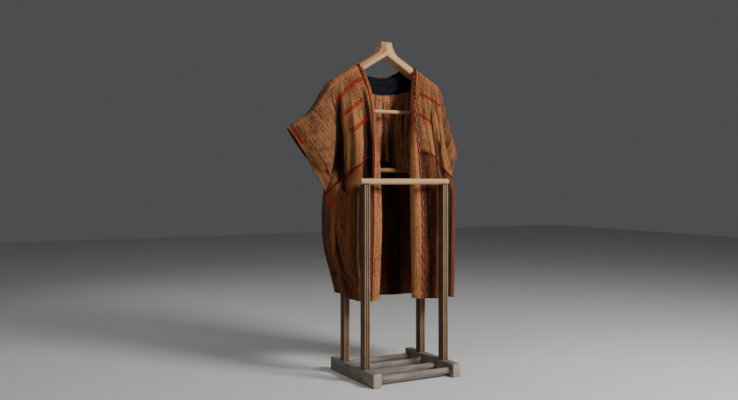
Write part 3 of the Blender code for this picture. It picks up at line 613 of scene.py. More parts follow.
def back_grid():
    """The whole back: rows down, columns from its left side to its right."""
    columns = []
    for x in back_places():
        left = x < 0
        u = x / (ARM_TOP_LEFT if left else ARM_TOP_RIGHT)
        levels, folds = (LEFT, FOLDS_BACK_LEFT) if left else (RIGHT, FOLDS_BACK_RIGHT)
        side_seam, side_hem = (SEAM_LEFT, HEM_LEFT) if left else (SEAM_RIGHT, HEM_RIGHT)
        seam = BACK_SEAM + (side_seam.side - BACK_SEAM) * ease(u)
        hem = BACK_HEM + (side_hem.side - BACK_HEM) * ease(u)
        columns.append(column(levels, folds, u, "back", back_top(x), seam, hem))
    return np.array(columns).transpose(1, 0, 2)


def refine(grid, steps):
    """More rows in a grid, on smooth curves down its columns: so many steps in each gap."""
    before = np.concatenate([2 * grid[:1] - grid[1:2], grid, 2 * grid[-1:] - grid[-2:-1]])
    rows = []
    for i, count in enumerate(steps):
        a, b, c, d = before[i : i + 4]
        for k in range(count):
            t = k / count
            rows.append(
                b + 0.5 * t * (c - a + t * (2 * a - 5 * b + 4 * c - d + t * (3 * (b - c) + d - a)))
            )
    rows.append(grid[-1])
    return np.array(rows)


def refine_across(grid, count):
    """More columns in a grid, the same number in each gap."""
    turned = grid.transpose(1, 0, 2)
    return refine(turned, [count] * (len(turned) - 1)).transpose(1, 0, 2)


def fine_rows():
    """Finer rows in each gap of the body's grids."""
    upper = round((ridge_height(0.16) - BACK_SEAM) / UPPER_ROWS / CELL)
    lower = round((BACK_SEAM - BACK_HEM) / LOWER_ROWS / CELL)
    return [*ROLL_STEPS] + [upper] * UPPER_ROWS + [lower] * LOWER_ROWS


FINE = fine_rows()
ROLL_END = sum(FINE[: len(ROLL) - 1])
SEAM_ROW = sum(FINE[: len(ROLL) - 1 + UPPER_ROWS])


def cell_normals(grid, facing, around=False):
    """Area-weighted face normals of a grid's cells, turned to the side that the rows' signs of y give."""
    rows = np.concatenate([grid, grid[:1]]) if around else grid
    normal = np.cross(rows[1:, 1:] - rows[:-1, :-1], rows[:-1, 1:] - rows[1:, :-1])
    sign = np.asarray(facing).reshape(-1, 1)
    return normal if (normal[..., 1] * sign).sum() > 0 else -normal


def summed_normals(grid, facing, around=False):
    """The sum of the cells' normals round each point."""
    cells = cell_normals(grid, facing, around)
    total = np.zeros_like(grid)
    for down in (0, 1):
        for right in (0, 1):
            if around:
                moved = np.roll(cells, down, axis=0)
                total[:, right : right + cells.shape[1]] += moved
            else:
                total[down : down + cells.shape[0], right : right + cells.shape[1]] += cells
    return total


def unit(vectors):
    return vectors / np.maximum(np.linalg.norm(vectors, axis=-1, keepdims=True), 1e-12)


def crease_depth(creases, points):
    """How far drawn creases push the cloth at points, each a soft uneven trough or ridge."""
    x, z = points[..., 0], points[..., 2]
    total = np.zeros(x.shape)
    for number, crease in enumerate(creases):
        start, end = np.array((crease.x0, crease.z0)), np.array((crease.x1, crease.z1))
        way = end - start
        length = np.linalg.norm(way)
        way = way / length
        along = ((x - start[0]) * way[0] + (z - start[1]) * way[1]) / length
        across = (x - start[0]) * way[1] - (z - start[1]) * way[0]
        inside = np.clip(along, 0, 1)
        wander = 0.0016 * np.sin(inside * 9.0 + number * 2.1) + 0.0010 * np.sin(inside * 21.0 + number)
        middle = crease.bow * np.sin(math.pi * inside) + wander
        swell = 1 + 0.30 * np.sin(inside * 11.0 + number * 1.7)
        share = np.abs(across - middle) / (crease.width * (0.75 + 0.35 * inside))
        fade = np.clip(np.minimum(along + 0.08, 1.08 - along) / 0.30, 0, 1)
        fade = fade * fade * (3 - 2 * fade)
        bump = np.where(share < 1, 0.5 * (1 + np.cos(math.pi * np.clip(share, 0, 1))), 0)
        total += crease.depth * bump * fade * swell
    return total


def crumple_depth(points, amount):
    """Soft unevenness, longer down the cloth than across it."""
    flat = points.reshape(-1, 3)
    rise = np.array(
        [
            noise.noise(Vector((p[0] * 34, p[1] * 34, p[2] * 9)))
            + 0.45 * noise.noise(Vector((p[0] * 90 + 7, p[1] * 90, p[2] * 40)))
            for p in flat
        ]
    )
    return (rise * amount).reshape(points.shape[:2])


def worked(grid, facing, creases, fade_sides, crumple):
    """A body grid with its creases and unevenness pressed in along its normals."""
    normals = unit(summed_normals(grid, facing))
    rows, columns = grid.shape[:2]
    down = np.arange(rows)[:, None]
    on_hanger = np.clip((down - ROLL_END - 4) / 26, 0, 1)
    across = np.arange(columns)[None, :] / (columns - 1)
    weight = on_hanger * np.clip((1 - across) / 0.035, 0, 1)
    if fade_sides == 2:
        weight = weight * np.clip(across / 0.05, 0, 1)
    seam_pull = np.exp(-(((down - SEAM_ROW) / 1.6) ** 2))
    depth = crease_depth(creases, grid) + crumple_depth(grid, crumple)
    return grid + normals * (depth * weight + seam_pull * weight * 0.0006)[..., None]


def sleeve_grid(front_edge, back_edge, table, cuff_y, cuff_half):
    """A sleeve: rows round it (ridge, front, underarm, back), columns from armhole to cuff."""
    loop = np.concatenate([front_edge, back_edge[-2:0:-1]])
    count = len(front_edge) - 1
    runs = np.linalg.norm(np.diff(front_edge, axis=0), axis=1)
    share = np.concatenate([[0], np.cumsum(runs)]) / runs.sum()
    angles = np.concatenate([share * math.pi, 2 * math.pi - share[-2:0:-1] * math.pi])[:, None]
    ends = table[-1]
    ridge = np.array([ends.ridge_x, cuff_y, ends.ridge_z])
    under = np.array([ends.under_x, cuff_y, ends.under_z])
    down = 0.5 * (1 - np.cos(angles))
    cuff = ridge * (1 - down) + under * down - np.array([0, cuff_half, 0]) * np.sin(angles)
    near = np.cos(angles[:, 0] / 2) ** 2
    columns = []
    for k, row in enumerate(table):
        t = k / (len(table) - 1)
        points = loop * (1 - t) + cuff * t
        base_ridge = loop[0] * (1 - t) + ridge * t
        base_under = loop[count] * (1 - t) + under * t
        points[:, 0] += near * (row.ridge_x - base_ridge[0]) + (1 - near) * (row.under_x - base_under[0])
        points[:, 2] += near * (row.ridge_z - base_ridge[2]) + (1 - near) * (row.under_z - base_under[2])
        sine = np.sin(angles[:, 0])
        bulge = np.where(sine > 0, row.bulge_front, row.bulge_back)
        points[:, 1] -= bulge * sine * (0.6 + 0.4 * np.abs(sine))
        columns.append(points)
    return np.array(columns).transpose(1, 0, 2)


def worked_sleeve(grid, furrows, crumple):
    """A sleeve with its folds and unevenness, still at its armhole."""
    half = len(grid) // 2
    facing = [-1] * half + [1] * half
    normals = unit(summed_normals(grid, facing, around=True))
    around = (np.arange(len(grid)) / len(grid))[:, None]
    along = (np.arange(grid.shape[1]) / (grid.shape[1] - 1))[None, :]
    depth = crumple_depth(grid, crumple)
    for number, furrow in enumerate(furrows):
        middle = furrow.at + furrow.lean * along + 0.006 * np.sin(along * 8 + number)
        share = np.abs(around - middle) / furrow.wide
        bump = np.where(share < 1, 0.5 * (1 + np.cos(math.pi * np.clip(share, 0, 1))), 0)
        fade = np.clip(np.minimum(along - furrow.first, furrow.last - along) / 0.2, 0, 1)
        depth = depth + furrow.depth * bump * fade
    weight = np.clip(along / 0.16, 0, 1)
    return grid + normals * (depth * weight)[..., None]


def band_grid(edge, column_name, side, turns):
    """The strip that turns inwards from a front's free edge: its first column is that edge."""
    first_turn, last_turn = turns
    columns = [edge]
    for i in range(1, BAND_COLUMNS + 1):
        share = i / BAND_COLUMNS
        points = []
        for x, y, z in edge:
            width = smooth(BAND, column_name, z) * share
            turn = math.radians(first_turn + (last_turn - first_turn) * share) * ease((BAND_TURNS - z) / 0.12)
            points.append((x - side * width * math.cos(turn), y + width * math.sin(turn), z))
        columns.append(np.array(points))
    return np.array(columns).transpose(1, 0, 2)


def key(point):
    return tuple(np.round(point, 6))


Panel = namedtuple("Panel", "grid reach facing around")


def border(grid, around):
    """Row and column of each point on a grid's open edges."""
    rows, columns = grid.shape[:2]
    places = {(j, k) for j in range(rows) for k in (0, columns - 1)}
    if not around:
        places |= {(j, k) for j in (0, rows - 1) for k in range(columns)}
    return places


@functools.lru_cache(maxsize=None)
def robe_panels():
    """Every panel of the kaftan: its middle surface and its normals, the same for panels that meet."""
    crumple = bpy.context.scene.kaftan_cloth.crumple
    left = front_grid(LEFT, FOLDS_LEFT, NECK_LEFT, SEAM_LEFT, HEM_LEFT)
    right = front_grid(RIGHT, FOLDS_RIGHT, NECK_RIGHT, SEAM_RIGHT, HEM_RIGHT)
    back = back_grid()
    left, right, back = (refine(grid, FINE) for grid in (left, right, back))
    left, right, back = refine_across(left, 2), refine_across(right, 3), refine_across(back, 3)
    left = worked(left, -1, CREASES_LEFT, 1, crumple)
    right = worked(right, -1, CREASES_RIGHT, 1, crumple)
    back = worked(back, 1, CREASES_BACK, 2, crumple)
    for front, place in ((left, 0), (right, -1)):
        back[SEAM_ROW:, place] = front[SEAM_ROW:, -1]
        back[0, place] = front[0, -1]
    upper = slice(0, SEAM_ROW + 1)
    sleeves = []
    for front, place, table, furrows, cuff_y, cuff_half in (
        (left, 0, SLEEVE_LEFT, FURROWS_LEFT, CUFF_Y_LEFT, CUFF_HALF_LEFT),
        (right, -1, SLEEVE_RIGHT, FURROWS_RIGHT, CUFF_Y_RIGHT, CUFF_HALF_RIGHT),
    ):
        sleeve = sleeve_grid(front[upper, -1], back[upper, place], table, cuff_y, cuff_half)
        sleeves.append(worked_sleeve(refine_across(sleeve, SLEEVE_STEPS), furrows, crumple))
    round_sleeve = [-1] * SEAM_ROW + [1] * SEAM_ROW
    grids = {
        "front_left_upper": (left[upper], -1, False),
        "front_left_lower": (left[SEAM_ROW:], -1, False),
        "front_right_upper": (right[upper], -1, False),
        "front_right_lower": (right[SEAM_ROW:], -1, False),
        "back_upper": (back[upper], 1, False),
        "back_lower": (back[SEAM_ROW:], 1, False),
        "sleeve_left": (sleeves[0], round_sleeve, True),
        "sleeve_right": (sleeves[1], round_sleeve, True),
        "front_band_left": (band_grid(left[ROLL_END:, 0], "left", -1, TURNS_LEFT), -1, False),
        "front_band_right": (band_grid(right[ROLL_END:, 0], "right", 1, TURNS_RIGHT), -1, False),
    }
    sums = {name: summed_normals(*entry) for name, entry in grids.items()}
    shared = {}
    for name, (grid, _, around) in grids.items():
        for place in border(grid, around):
            shared.setdefault(key(grid[place]), []).append((name, place))
    for owners in shared.values():
        if len(owners) > 1:
            total = sum(sums[name][place] for name, place in owners)
            for name, place in owners:
                sums[name][place] = total
    return {
        name: Panel(grid, unit(sums[name]), facing, around) for name, (grid, facing, around) in grids.items()
    }


def draw_in(grid, around):
    """Moves a panel's edges inwards by half a seam's gap."""
    moved = grid.copy()

    def shift(edge, inner):
        return edge + unit(inner - edge) * GAP / 2

    moved[:, 0] = shift(grid[:, 0], grid[:, 1])
    moved[:, -1] = shift(grid[:, -1], grid[:, -2])
    if not around:
        top, foot = moved[0].copy(), moved[-1].copy()
        moved[0] = shift(top, moved[1])
        moved[-1] = shift(foot, moved[-2])
    return moved


def relief(grid, normals, around, passes):
    """How far each point stands above the cloth round it, in metres: ridges plus, troughs minus."""
    average = grid.copy()
    for _ in range(passes):
        padded = np.concatenate([average[-1:], average, average[:1]]) if around else np.pad(
            average, ((1, 1), (0, 0), (0, 0)), mode="edge"
        )
        average = (padded[:-2] + 2 * average + padded[2:]) / 4
        padded = np.pad(average, ((0, 0), (1, 1), (0, 0)), mode="edge")
        average = (padded[:, :-2] + 2 * average + padded[:, 2:]) / 4
    return ((grid - average) * normals).sum(-1)


def skin(work, points, flip):
    """One side of a cloth wall: a grid of faces whose corners are put at the points."""
    rows, columns = points.shape[:2]
    made = bmesh.ops.create_grid(work, x_segments=columns - 1, y_segments=rows - 1, size=1.0)["verts"]
    for vert in made:
        k = round((vert.co.x + 1) / 2 * (columns - 1))
        j = round((1 - vert.co.y) / 2 * (rows - 1))
        vert.co = points[j, k]
        vert[work.verts.layers.int["row"]] = j
        vert[work.verts.layers.int["column"]] = k
    if flip:
        bmesh.ops.reverse_faces(work, faces=list({f for v in made for f in v.link_faces}))
    return made


def cloth_mesh(name, middle, reach, thick, around, cut, painted_shade_and_light, from_cuff=None):
    """A closed cloth wall round a middle surface, with its weave laid out in metres on its UV map."""
    if around:
        middle, reach, painted_shade_and_light = (np.concatenate([a, a[:1]]) for a in (middle, reach, painted_shade_and_light))
    rows, columns = middle.shape[:2]
    work = bmesh.new()
    work.verts.layers.int.new("row")
    work.verts.layers.int.new("column")
    outer = skin(work, middle + reach * thick / 2, False)
    inner = skin(work, middle - reach * thick / 2, True)
    for verts in (outer, inner):
        if around:
            ends = [v for v in verts if v[work.verts.layers.int["row"]] in (0, rows - 1)]
            bmesh.ops.remove_doubles(work, verts=ends, dist=1e-6)
    loose = [e for e in work.edges if e.is_boundary]
    bmesh.ops.bridge_loops(work, edges=loose) if not around else bridge_ends(work, loose, columns)
    down, across = work.verts.layers.int["row"], work.verts.layers.int["column"]
    sheet = work.loops.layers.uv.new("cloth")
    for face in work.faces:
        wraps = around and max(v[down] for v in face.verts) - min(v[down] for v in face.verts) > rows / 2
        for loop in face.loops:
            j = loop.vert[down]
            if wraps and j == 0:
                j = rows - 1
            along, round_arm = cut(j / (rows - 1), loop.vert[across] / (columns - 1))
            if from_cuff is not None:
                along = from_cuff[j % len(from_cuff), loop.vert[across]]
            loop[sheet].uv = along, round_arm
    bmesh.ops.recalc_face_normals(work, faces=work.faces)
    # The tone attribute: painted shade and light taken from the panel's relief, read by the wool's colour
    tone = work.verts.layers.float.new("tone")
    for vert in work.verts:
        vert[tone] = float(painted_shade_and_light[vert[down], vert[across]])
    mesh = bpy.data.meshes.new(name)
    work.to_mesh(mesh)
    work.free()
    return mesh


def bridge_ends(work, loose, columns):
    """Joins the two skins of a sleeve at its armhole and again at its cuff."""
    across = work.verts.layers.int["column"]
    for end in (0, columns - 1):
        edges = [e for e in loose if e.verts[0][across] == e.verts[1][across] == end]
        bmesh.ops.bridge_loops(work, edges=edges)


def finished(name, mesh, materials, nodes):
    """Places a mesh on the frame as a piece of the part."""
    mesh.transform(Matrix.Translation(PLACE))
    piece = bpy.data.objects.new(name, mesh)
    bpy.context.scene.collection.objects.link(piece)
    for made in materials:
        mesh.materials.append(made)
    mesh.shade_smooth()
    mesh.set_sharp_from_angle(angle=math.radians(48))
    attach(piece, "root")
    if nodes:
        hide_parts(*nodes)
    return piece


class Nodes:
    """Makes a material's nodes and joins them."""

    def __init__(self, name):
        self.material = bpy.data.materials.new(name)
        self.material.use_nodes = True
        self.tree = self.material.node_tree
        self.shader = self.tree.nodes["Principled BSDF"]

    def add(self, kind, settings=None, **inputs):
        node = self.tree.nodes.new(kind)
        for field, value in (settings or {}).items():
            setattr(node, field, value)
        for name, value in inputs.items():
            self.put(node.inputs[name.replace("_", " ")], value)
        return node

    def put(self, socket, value):
        if isinstance(value, bpy.types.NodeSocket):
            self.tree.links.new(value, socket)
        else:
            socket.default_value = value

    def maths(self, kind, first, second=0.0, clamp=False):
        node = self.tree.nodes.new("ShaderNodeMath")
        node.operation, node.use_clamp = kind, clamp
        self.put(node.inputs[0], first)
        self.put(node.inputs[1], second)
        return node.outputs[0]

    def stretched(self, vector, scale, turn=(0.0, 0.0, 0.0)):
        node = self.tree.nodes.new("ShaderNodeMapping")
        node.inputs["Scale"].default_value = scale
        node.inputs["Rotation"].default_value = turn
        self.put(node.inputs["Vector"], vector)
        return node.outputs["Vector"]

    def noise(self, vector, detail=3.0, rough=0.55, scale=1.0, lean=0.0):
        node = self.add("ShaderNodeTexNoise", Vector=vector, Scale=scale, Detail=detail, Roughness=rough)
        node.inputs["Distortion"].default_value = lean
        return node.outputs["Fac"]

    def ramp(self, value, *stops):
        node = self.tree.nodes.new("ShaderNodeValToRGB")
        self.put(node.inputs["Fac"], value)
        marks = node.color_ramp.elements
        while len(marks) < len(stops):
            marks.new(0.5)
        for mark, (place, level) in zip(marks, sorted(stops)):
            mark.position = place
            mark.color = (level, level, level, 1.0)
        return node.outputs["Color"]

    def mix(self, share, first, second, kind="MIX"):
        node = self.tree.nodes.new("ShaderNodeMix")
        node.data_type, node.blend_type = "RGBA", kind
        colours = [s for s in node.inputs if s.type == "RGBA"]
        self.put(node.inputs["Factor"], share)
        for socket, value in zip(colours, (first, second)):
            value = value if isinstance(value, bpy.types.NodeSocket) else (*value, 1.0)
            self.put(socket, value)
        return next(s for s in node.outputs if s.type == "RGBA")

    def bump(self, height, strength, distance, before=None):
        node = self.tree.nodes.new("ShaderNodeBump")
        node.inputs["Strength"].default_value = strength
        node.inputs["Distance"].default_value = distance
        self.put(node.inputs["Height"], height)
        if before is not None:
            self.put(node.inputs["Normal"], before)
        return node.outputs["Normal"]

    def finish(self, colour, rough, normal, sheen=0.0, tint=(1.0, 1.0, 1.0), specular=0.5):
        self.put(self.shader.inputs["Base Color"], colour)
        self.put(self.shader.inputs["Roughness"], rough)
        if normal is not None:
            self.put(self.shader.inputs["Normal"], normal)
        self.shader.inputs["Metallic"].default_value = 0.0
        self.shader.inputs["Specular IOR Level"].default_value = specular
        self.shader.inputs["Sheen Weight"].default_value = sheen
        self.shader.inputs["Sheen Roughness"].default_value = 0.45
        self.shader.inputs["Sheen Tint"].default_value = (*tint, 1.0)
        return self.material


def wool(name, settings, tint, stripes, stripe_strength=0.55, facing=None, least=0.25):
    """Striped hand-woven wool: streaks and thin dark stripes along the warp, slubs, a plain weave and mottled wear,
    with painted shade in the cloth's troughs and painted light on its ridges, read from the tone attribute.
    """
    made = Nodes(name)
    tan, brown, dark = (
        [c * t for c, t in zip(colour, tint)] for colour in (settings.tan, settings.brown, settings.dark)
    )
    uv = made.add("ShaderNodeUVMap", {"uv_map": "cloth"}).outputs["UV"]
    space = made.add("ShaderNodeTexCoord").outputs["Object"]
    # The tone attribute holds painted light for ridges and painted shade for troughs and folds
    tone = made.add("ShaderNodeAttribute", {"attribute_name": "tone"}).outputs["Fac"]
    wide = made.ramp(made.noise(made.stretched(uv, (46, 6.5, 1)), 4.0, 0.6), (0.38, 0.0), (0.62, 1.0))
    streak = made.ramp(made.noise(made.stretched(uv, (185, 40.0, 1)), 4.0, 0.7), (0.38, 0.0), (0.62, 1.0))
    fleck = made.noise(made.stretched(uv, (620, 150, 1)), 2.0, 0.6)
    nubs = made.ramp(made.noise(made.stretched(uv, (190, 150, 1)), 4.0, 0.8), (0.38, 0.0), (0.62, 1.0))
    mottle = made.ramp(made.noise(made.stretched(space, (26, 26, 13)), 4.0, 0.65), (0.38, 0.0), (0.62, 1.0))
    light = made.maths("ADD", made.maths("MULTIPLY", wide, 0.34), made.maths("MULTIPLY", streak, 0.40))
    light = made.maths("ADD", light, made.maths("MULTIPLY", mottle, 0.30))
    light = made.maths("ADD", light, made.maths("MULTIPLY", made.maths("SUBTRACT", fleck, 0.5), 0.9))
    light = made.maths("ADD", light, made.maths("MULTIPLY", made.maths("SUBTRACT", nubs, 0.5), 0.70))
    # Painted light and shade: ridges lighter, troughs darker, from the tone attribute
    light = made.maths("ADD", light, made.maths("MULTIPLY", made.maths("SUBTRACT", tone, 0.5), 1.0))
    light = made.maths("ADD", made.maths("MULTIPLY", made.maths("SUBTRACT", light, 0.5), 1.35), 0.37, clamp=True)
    ground = made.mix(light, brown, tan)
    lines = made.noise(made.stretched(uv, (stripes, 0.55, 1)), 2.0, 0.5)
    thin = made.ramp(lines, (0.405, 0.0), (0.450, 1.0), (0.490, 0.0))
    thin_too = made.ramp(lines, (0.550, 0.0), (0.585, 0.85), (0.620, 0.0))
    broken = made.ramp(made.noise(made.stretched(uv, (70, 30, 1)), 3.0, 0.6), (0.30, least), (0.56, 1.0))
    stripe = made.maths("MULTIPLY", made.maths("ADD", thin, thin_too, clamp=True), broken)
    colour = made.mix(made.maths("MULTIPLY", stripe, stripe_strength), ground, dark)
    # Painted shade: the colour darkened where the tone attribute marks a trough or fold
    painted_trough_shade = made.ramp(tone, (0.0, 0.12), (0.22, 0.42), (0.46, 1.0))
    colour = made.mix(1.0, colour, painted_trough_shade, "MULTIPLY")
    pitch = math.tau / settings.weave
    waves = made.add("ShaderNodeSeparateXYZ", Vector=uv).outputs
    # Multiplies the colour above a height on the cloth's UV map by a tint: painted light on the top of the lower-left
    # width, and a darker red-brown on the top of the right strip
    if facing:
        at, shade = facing
        below = made.ramp(waves["Y"], (at - 0.06, 0.0), (at + 0.05, 1.0))
        colour = made.mix(below, made.mix(1.0, colour, shade, "MULTIPLY"), colour)
    warp = made.maths("SINE", made.maths("MULTIPLY", waves["X"], pitch))
    weft = made.maths("SINE", made.maths("MULTIPLY", waves["Y"], pitch))
    weave = made.maths("MULTIPLY_ADD", made.maths("MULTIPLY", warp, weft), 0.5)
    worn = made.mix(0.32, colour, made.mix(weave, toned(brown, 0.5), colour))
    slub = made.bump(nubs, 0.6, 0.0012, made.bump(streak, 0.55, 0.0014))
    normal = made.bump(weave, 0.6, 0.0005, made.bump(fleck, 0.6, 0.0014, slub))
    rough = made.maths("ADD", made.maths("MULTIPLY", fleck, 0.16), 0.82)
    return made.finish(worn, rough, normal, sheen=0.10, tint=(1.0, 0.74, 0.50), specular=0.12)


def lining_cloth(settings):
    """Dark navy cotton with a fine weave, faded in patches, with painted highlights along its wrinkles' crests."""
    made = Nodes("lining")
    uv = made.add("ShaderNodeUVMap", {"uv_map": "cloth"}).outputs["UV"]
    patch = made.ramp(made.noise(made.stretched(uv, (34, 60, 1)), 4.0, 0.6), (0.35, 0.0), (0.75, 1.0))
    thread = made.noise(made.stretched(uv, (900, 900, 1)), 1.0, 0.5)
    colour = made.mix(patch, toned(settings.navy, 0.8), toned(settings.navy, 2.6))
    colour = made.mix(made.maths("MULTIPLY", thread, 0.5), colour, toned(settings.navy, 3.0))
    wrinkle = made.noise(made.stretched(uv, (9, 70, 1)), 2.0, 0.5, lean=0.8)
    # Painted highlight: the wrinkles' crests made up to five times as light as the navy
    ridge = made.ramp(wrinkle, (0.42, 0.0), (0.52, 1.0), (0.62, 0.0))
    colour = made.mix(made.maths("MULTIPLY", ridge, 0.7), colour, toned(settings.navy, 5.0))
    soft = made.bump(ridge, 0.8, 0.0030)
    return made.finish(colour, 0.82, made.bump(thread, 0.4, 0.0005, soft), specular=0.04)


def thread(name, colour):
    """Wool thread: uneven dye and a fine twist."""
    made = Nodes(name)
    space = made.add("ShaderNodeTexCoord").outputs["Object"]
    dye = made.noise(made.stretched(space, (140, 140, 140)), 3.0, 0.6)
    twist = made.noise(made.stretched(space, (1400, 1400, 1400)), 1.0, 0.5)
    shade = made.mix(
        made.ramp(dye, (0.30, 0.0), (0.70, 1.0)), toned(colour, 0.55), [min(1, c * 1.15) for c in colour]
    )
    return made.finish(shade, 0.85, made.bump(twist, 0.5, 0.0004), specular=0.06)


def wood(
    name, light, dark, scale, turn=(0.0, 0.0, 0.0), crack=0.35, wear=0.4, rough=0.55, relief_depth=0.0006,
    upper=None
):
    """Wood with grain drawn out along one way: the smallest of the three scales."""
    made = Nodes(name)
    space = made.add("ShaderNodeTexCoord").outputs["Object"]
    turned = made.stretched(space, (1.0, 1.0, 1.0), turn)
    run = made.stretched(turned, scale)
    rings = made.noise(run, 5.0, 0.62, lean=0.6)
    fine = made.noise(made.stretched(turned, [s * 5.0 for s in scale]), 2.0, 0.6)
    lines = made.ramp(
        made.noise(made.stretched(turned, [s * 2.3 for s in scale]), 2.0, 0.5), (0.46, 0.0), (0.5, 1.0), (0.53, 0.0)
    )
    stain = made.ramp(made.noise(made.stretched(space, (14, 14, 14)), 4.0, 0.6), (0.35, 0.0), (0.70, 1.0))
    ground = made.mix(made.ramp(rings, (0.30, 0.0), (0.70, 1.0)), dark, light)
    ground = made.mix(made.maths("MULTIPLY", stain, wear), ground, toned(dark, 0.55))
    colour = made.mix(made.maths("MULTIPLY", lines, crack), ground, toned(dark, 0.30))
    if upper:
        tone, slope, level = upper
        place = made.add("ShaderNodeSeparateXYZ", Vector=space).outputs
        over = made.maths("ADD", made.maths("MULTIPLY", place["X"], slope), made.maths("SUBTRACT", place["Z"], level))
        over = made.maths("ADD", made.maths("MULTIPLY", over, 240.0), made.maths("MULTIPLY", rings, 1.4), clamp=True)
        colour = made.mix(over, colour, made.mix(1.0, colour, tone, "MULTIPLY"))
    height = made.maths("SUBTRACT", made.maths("ADD", rings, made.maths("MULTIPLY", fine, 0.5)), lines)
    gloss = made.maths("ADD", made.maths("MULTIPLY", fine, 0.25), rough - 0.12)
    return made.finish(colour, gloss, made.bump(height, 0.55, relief_depth), specular=0.35)


def floor_finish(settings):
    """A plain pale floor with a hint of unevenness."""
    made = Nodes("pale_floor")
    space = made.add("ShaderNodeTexCoord").outputs["Object"]
    cloud = made.noise(made.stretched(space, (1.5, 1.5, 1.5)), 3.0, 0.5)
    colour = made.mix(cloud, toned(settings.floor, 0.96), settings.floor)
    return made.finish(colour, 0.7, None, specular=0.2)


def drape(name, panel, look, node, offset, turned=False, inside=None):
    """A panel of the kaftan as a piece, with its weave laid out over its own cut."""
    size = WEAVE[node]
    middle = draw_in(panel.grid, panel.around)
    shape = panel.grid, panel.reach, panel.around
    # Painted shade and light: troughs and folds darker, ridges lighter, from the cloth's relief at two scales
    painted_shade_and_light = np.clip(0.5 + relief(*shape, 14) / 0.0070 + relief(*shape, 90) / 0.026, 0, 1)
    # Painted shadow under the overhang of the width seam, along the top rows of each lower width
    if node.endswith("lower"):
        painted_shade_and_light = painted_shade_and_light - 0.6 * np.exp(-np.arange(len(painted_shade_and_light)) / 2.0)[:, None]

    def cut(down, across):
        if turned:
            return across * size.length + offset, down * size.width
        return across * size.width + offset, down * size.length

    from_cuff = None
    if turned:
        rim = panel.grid[:, -1][:, [0, 2]]
        way = unit(rim[len(rim) // 2] - rim[0])
        from_cuff = np.abs((panel.grid[..., [0, 2]] - rim[0]) @ np.array((-way[1], way[0]))) + offset
    # Painted shade kept light on the upper widths' top rows, where the cloth lies over the hanger
    if not turned and node.endswith("upper"):
        painted_shade_and_light[: ROLL_END + 10] = np.maximum(painted_shade_and_light[: ROLL_END + 10], 0.47)
    mesh = cloth_mesh(name, middle, panel.reach, WALL, panel.around, cut, painted_shade_and_light, from_cuff)
    if inside:
        # Faces turned to the front, the back's inside, take the second material: a painted light copy of the wool
        for face in mesh.polygons:
            face.material_index = 1 if face.normal.y < 0 else 0
    return finished(name, mesh, [look, inside] if inside else [look], [node])


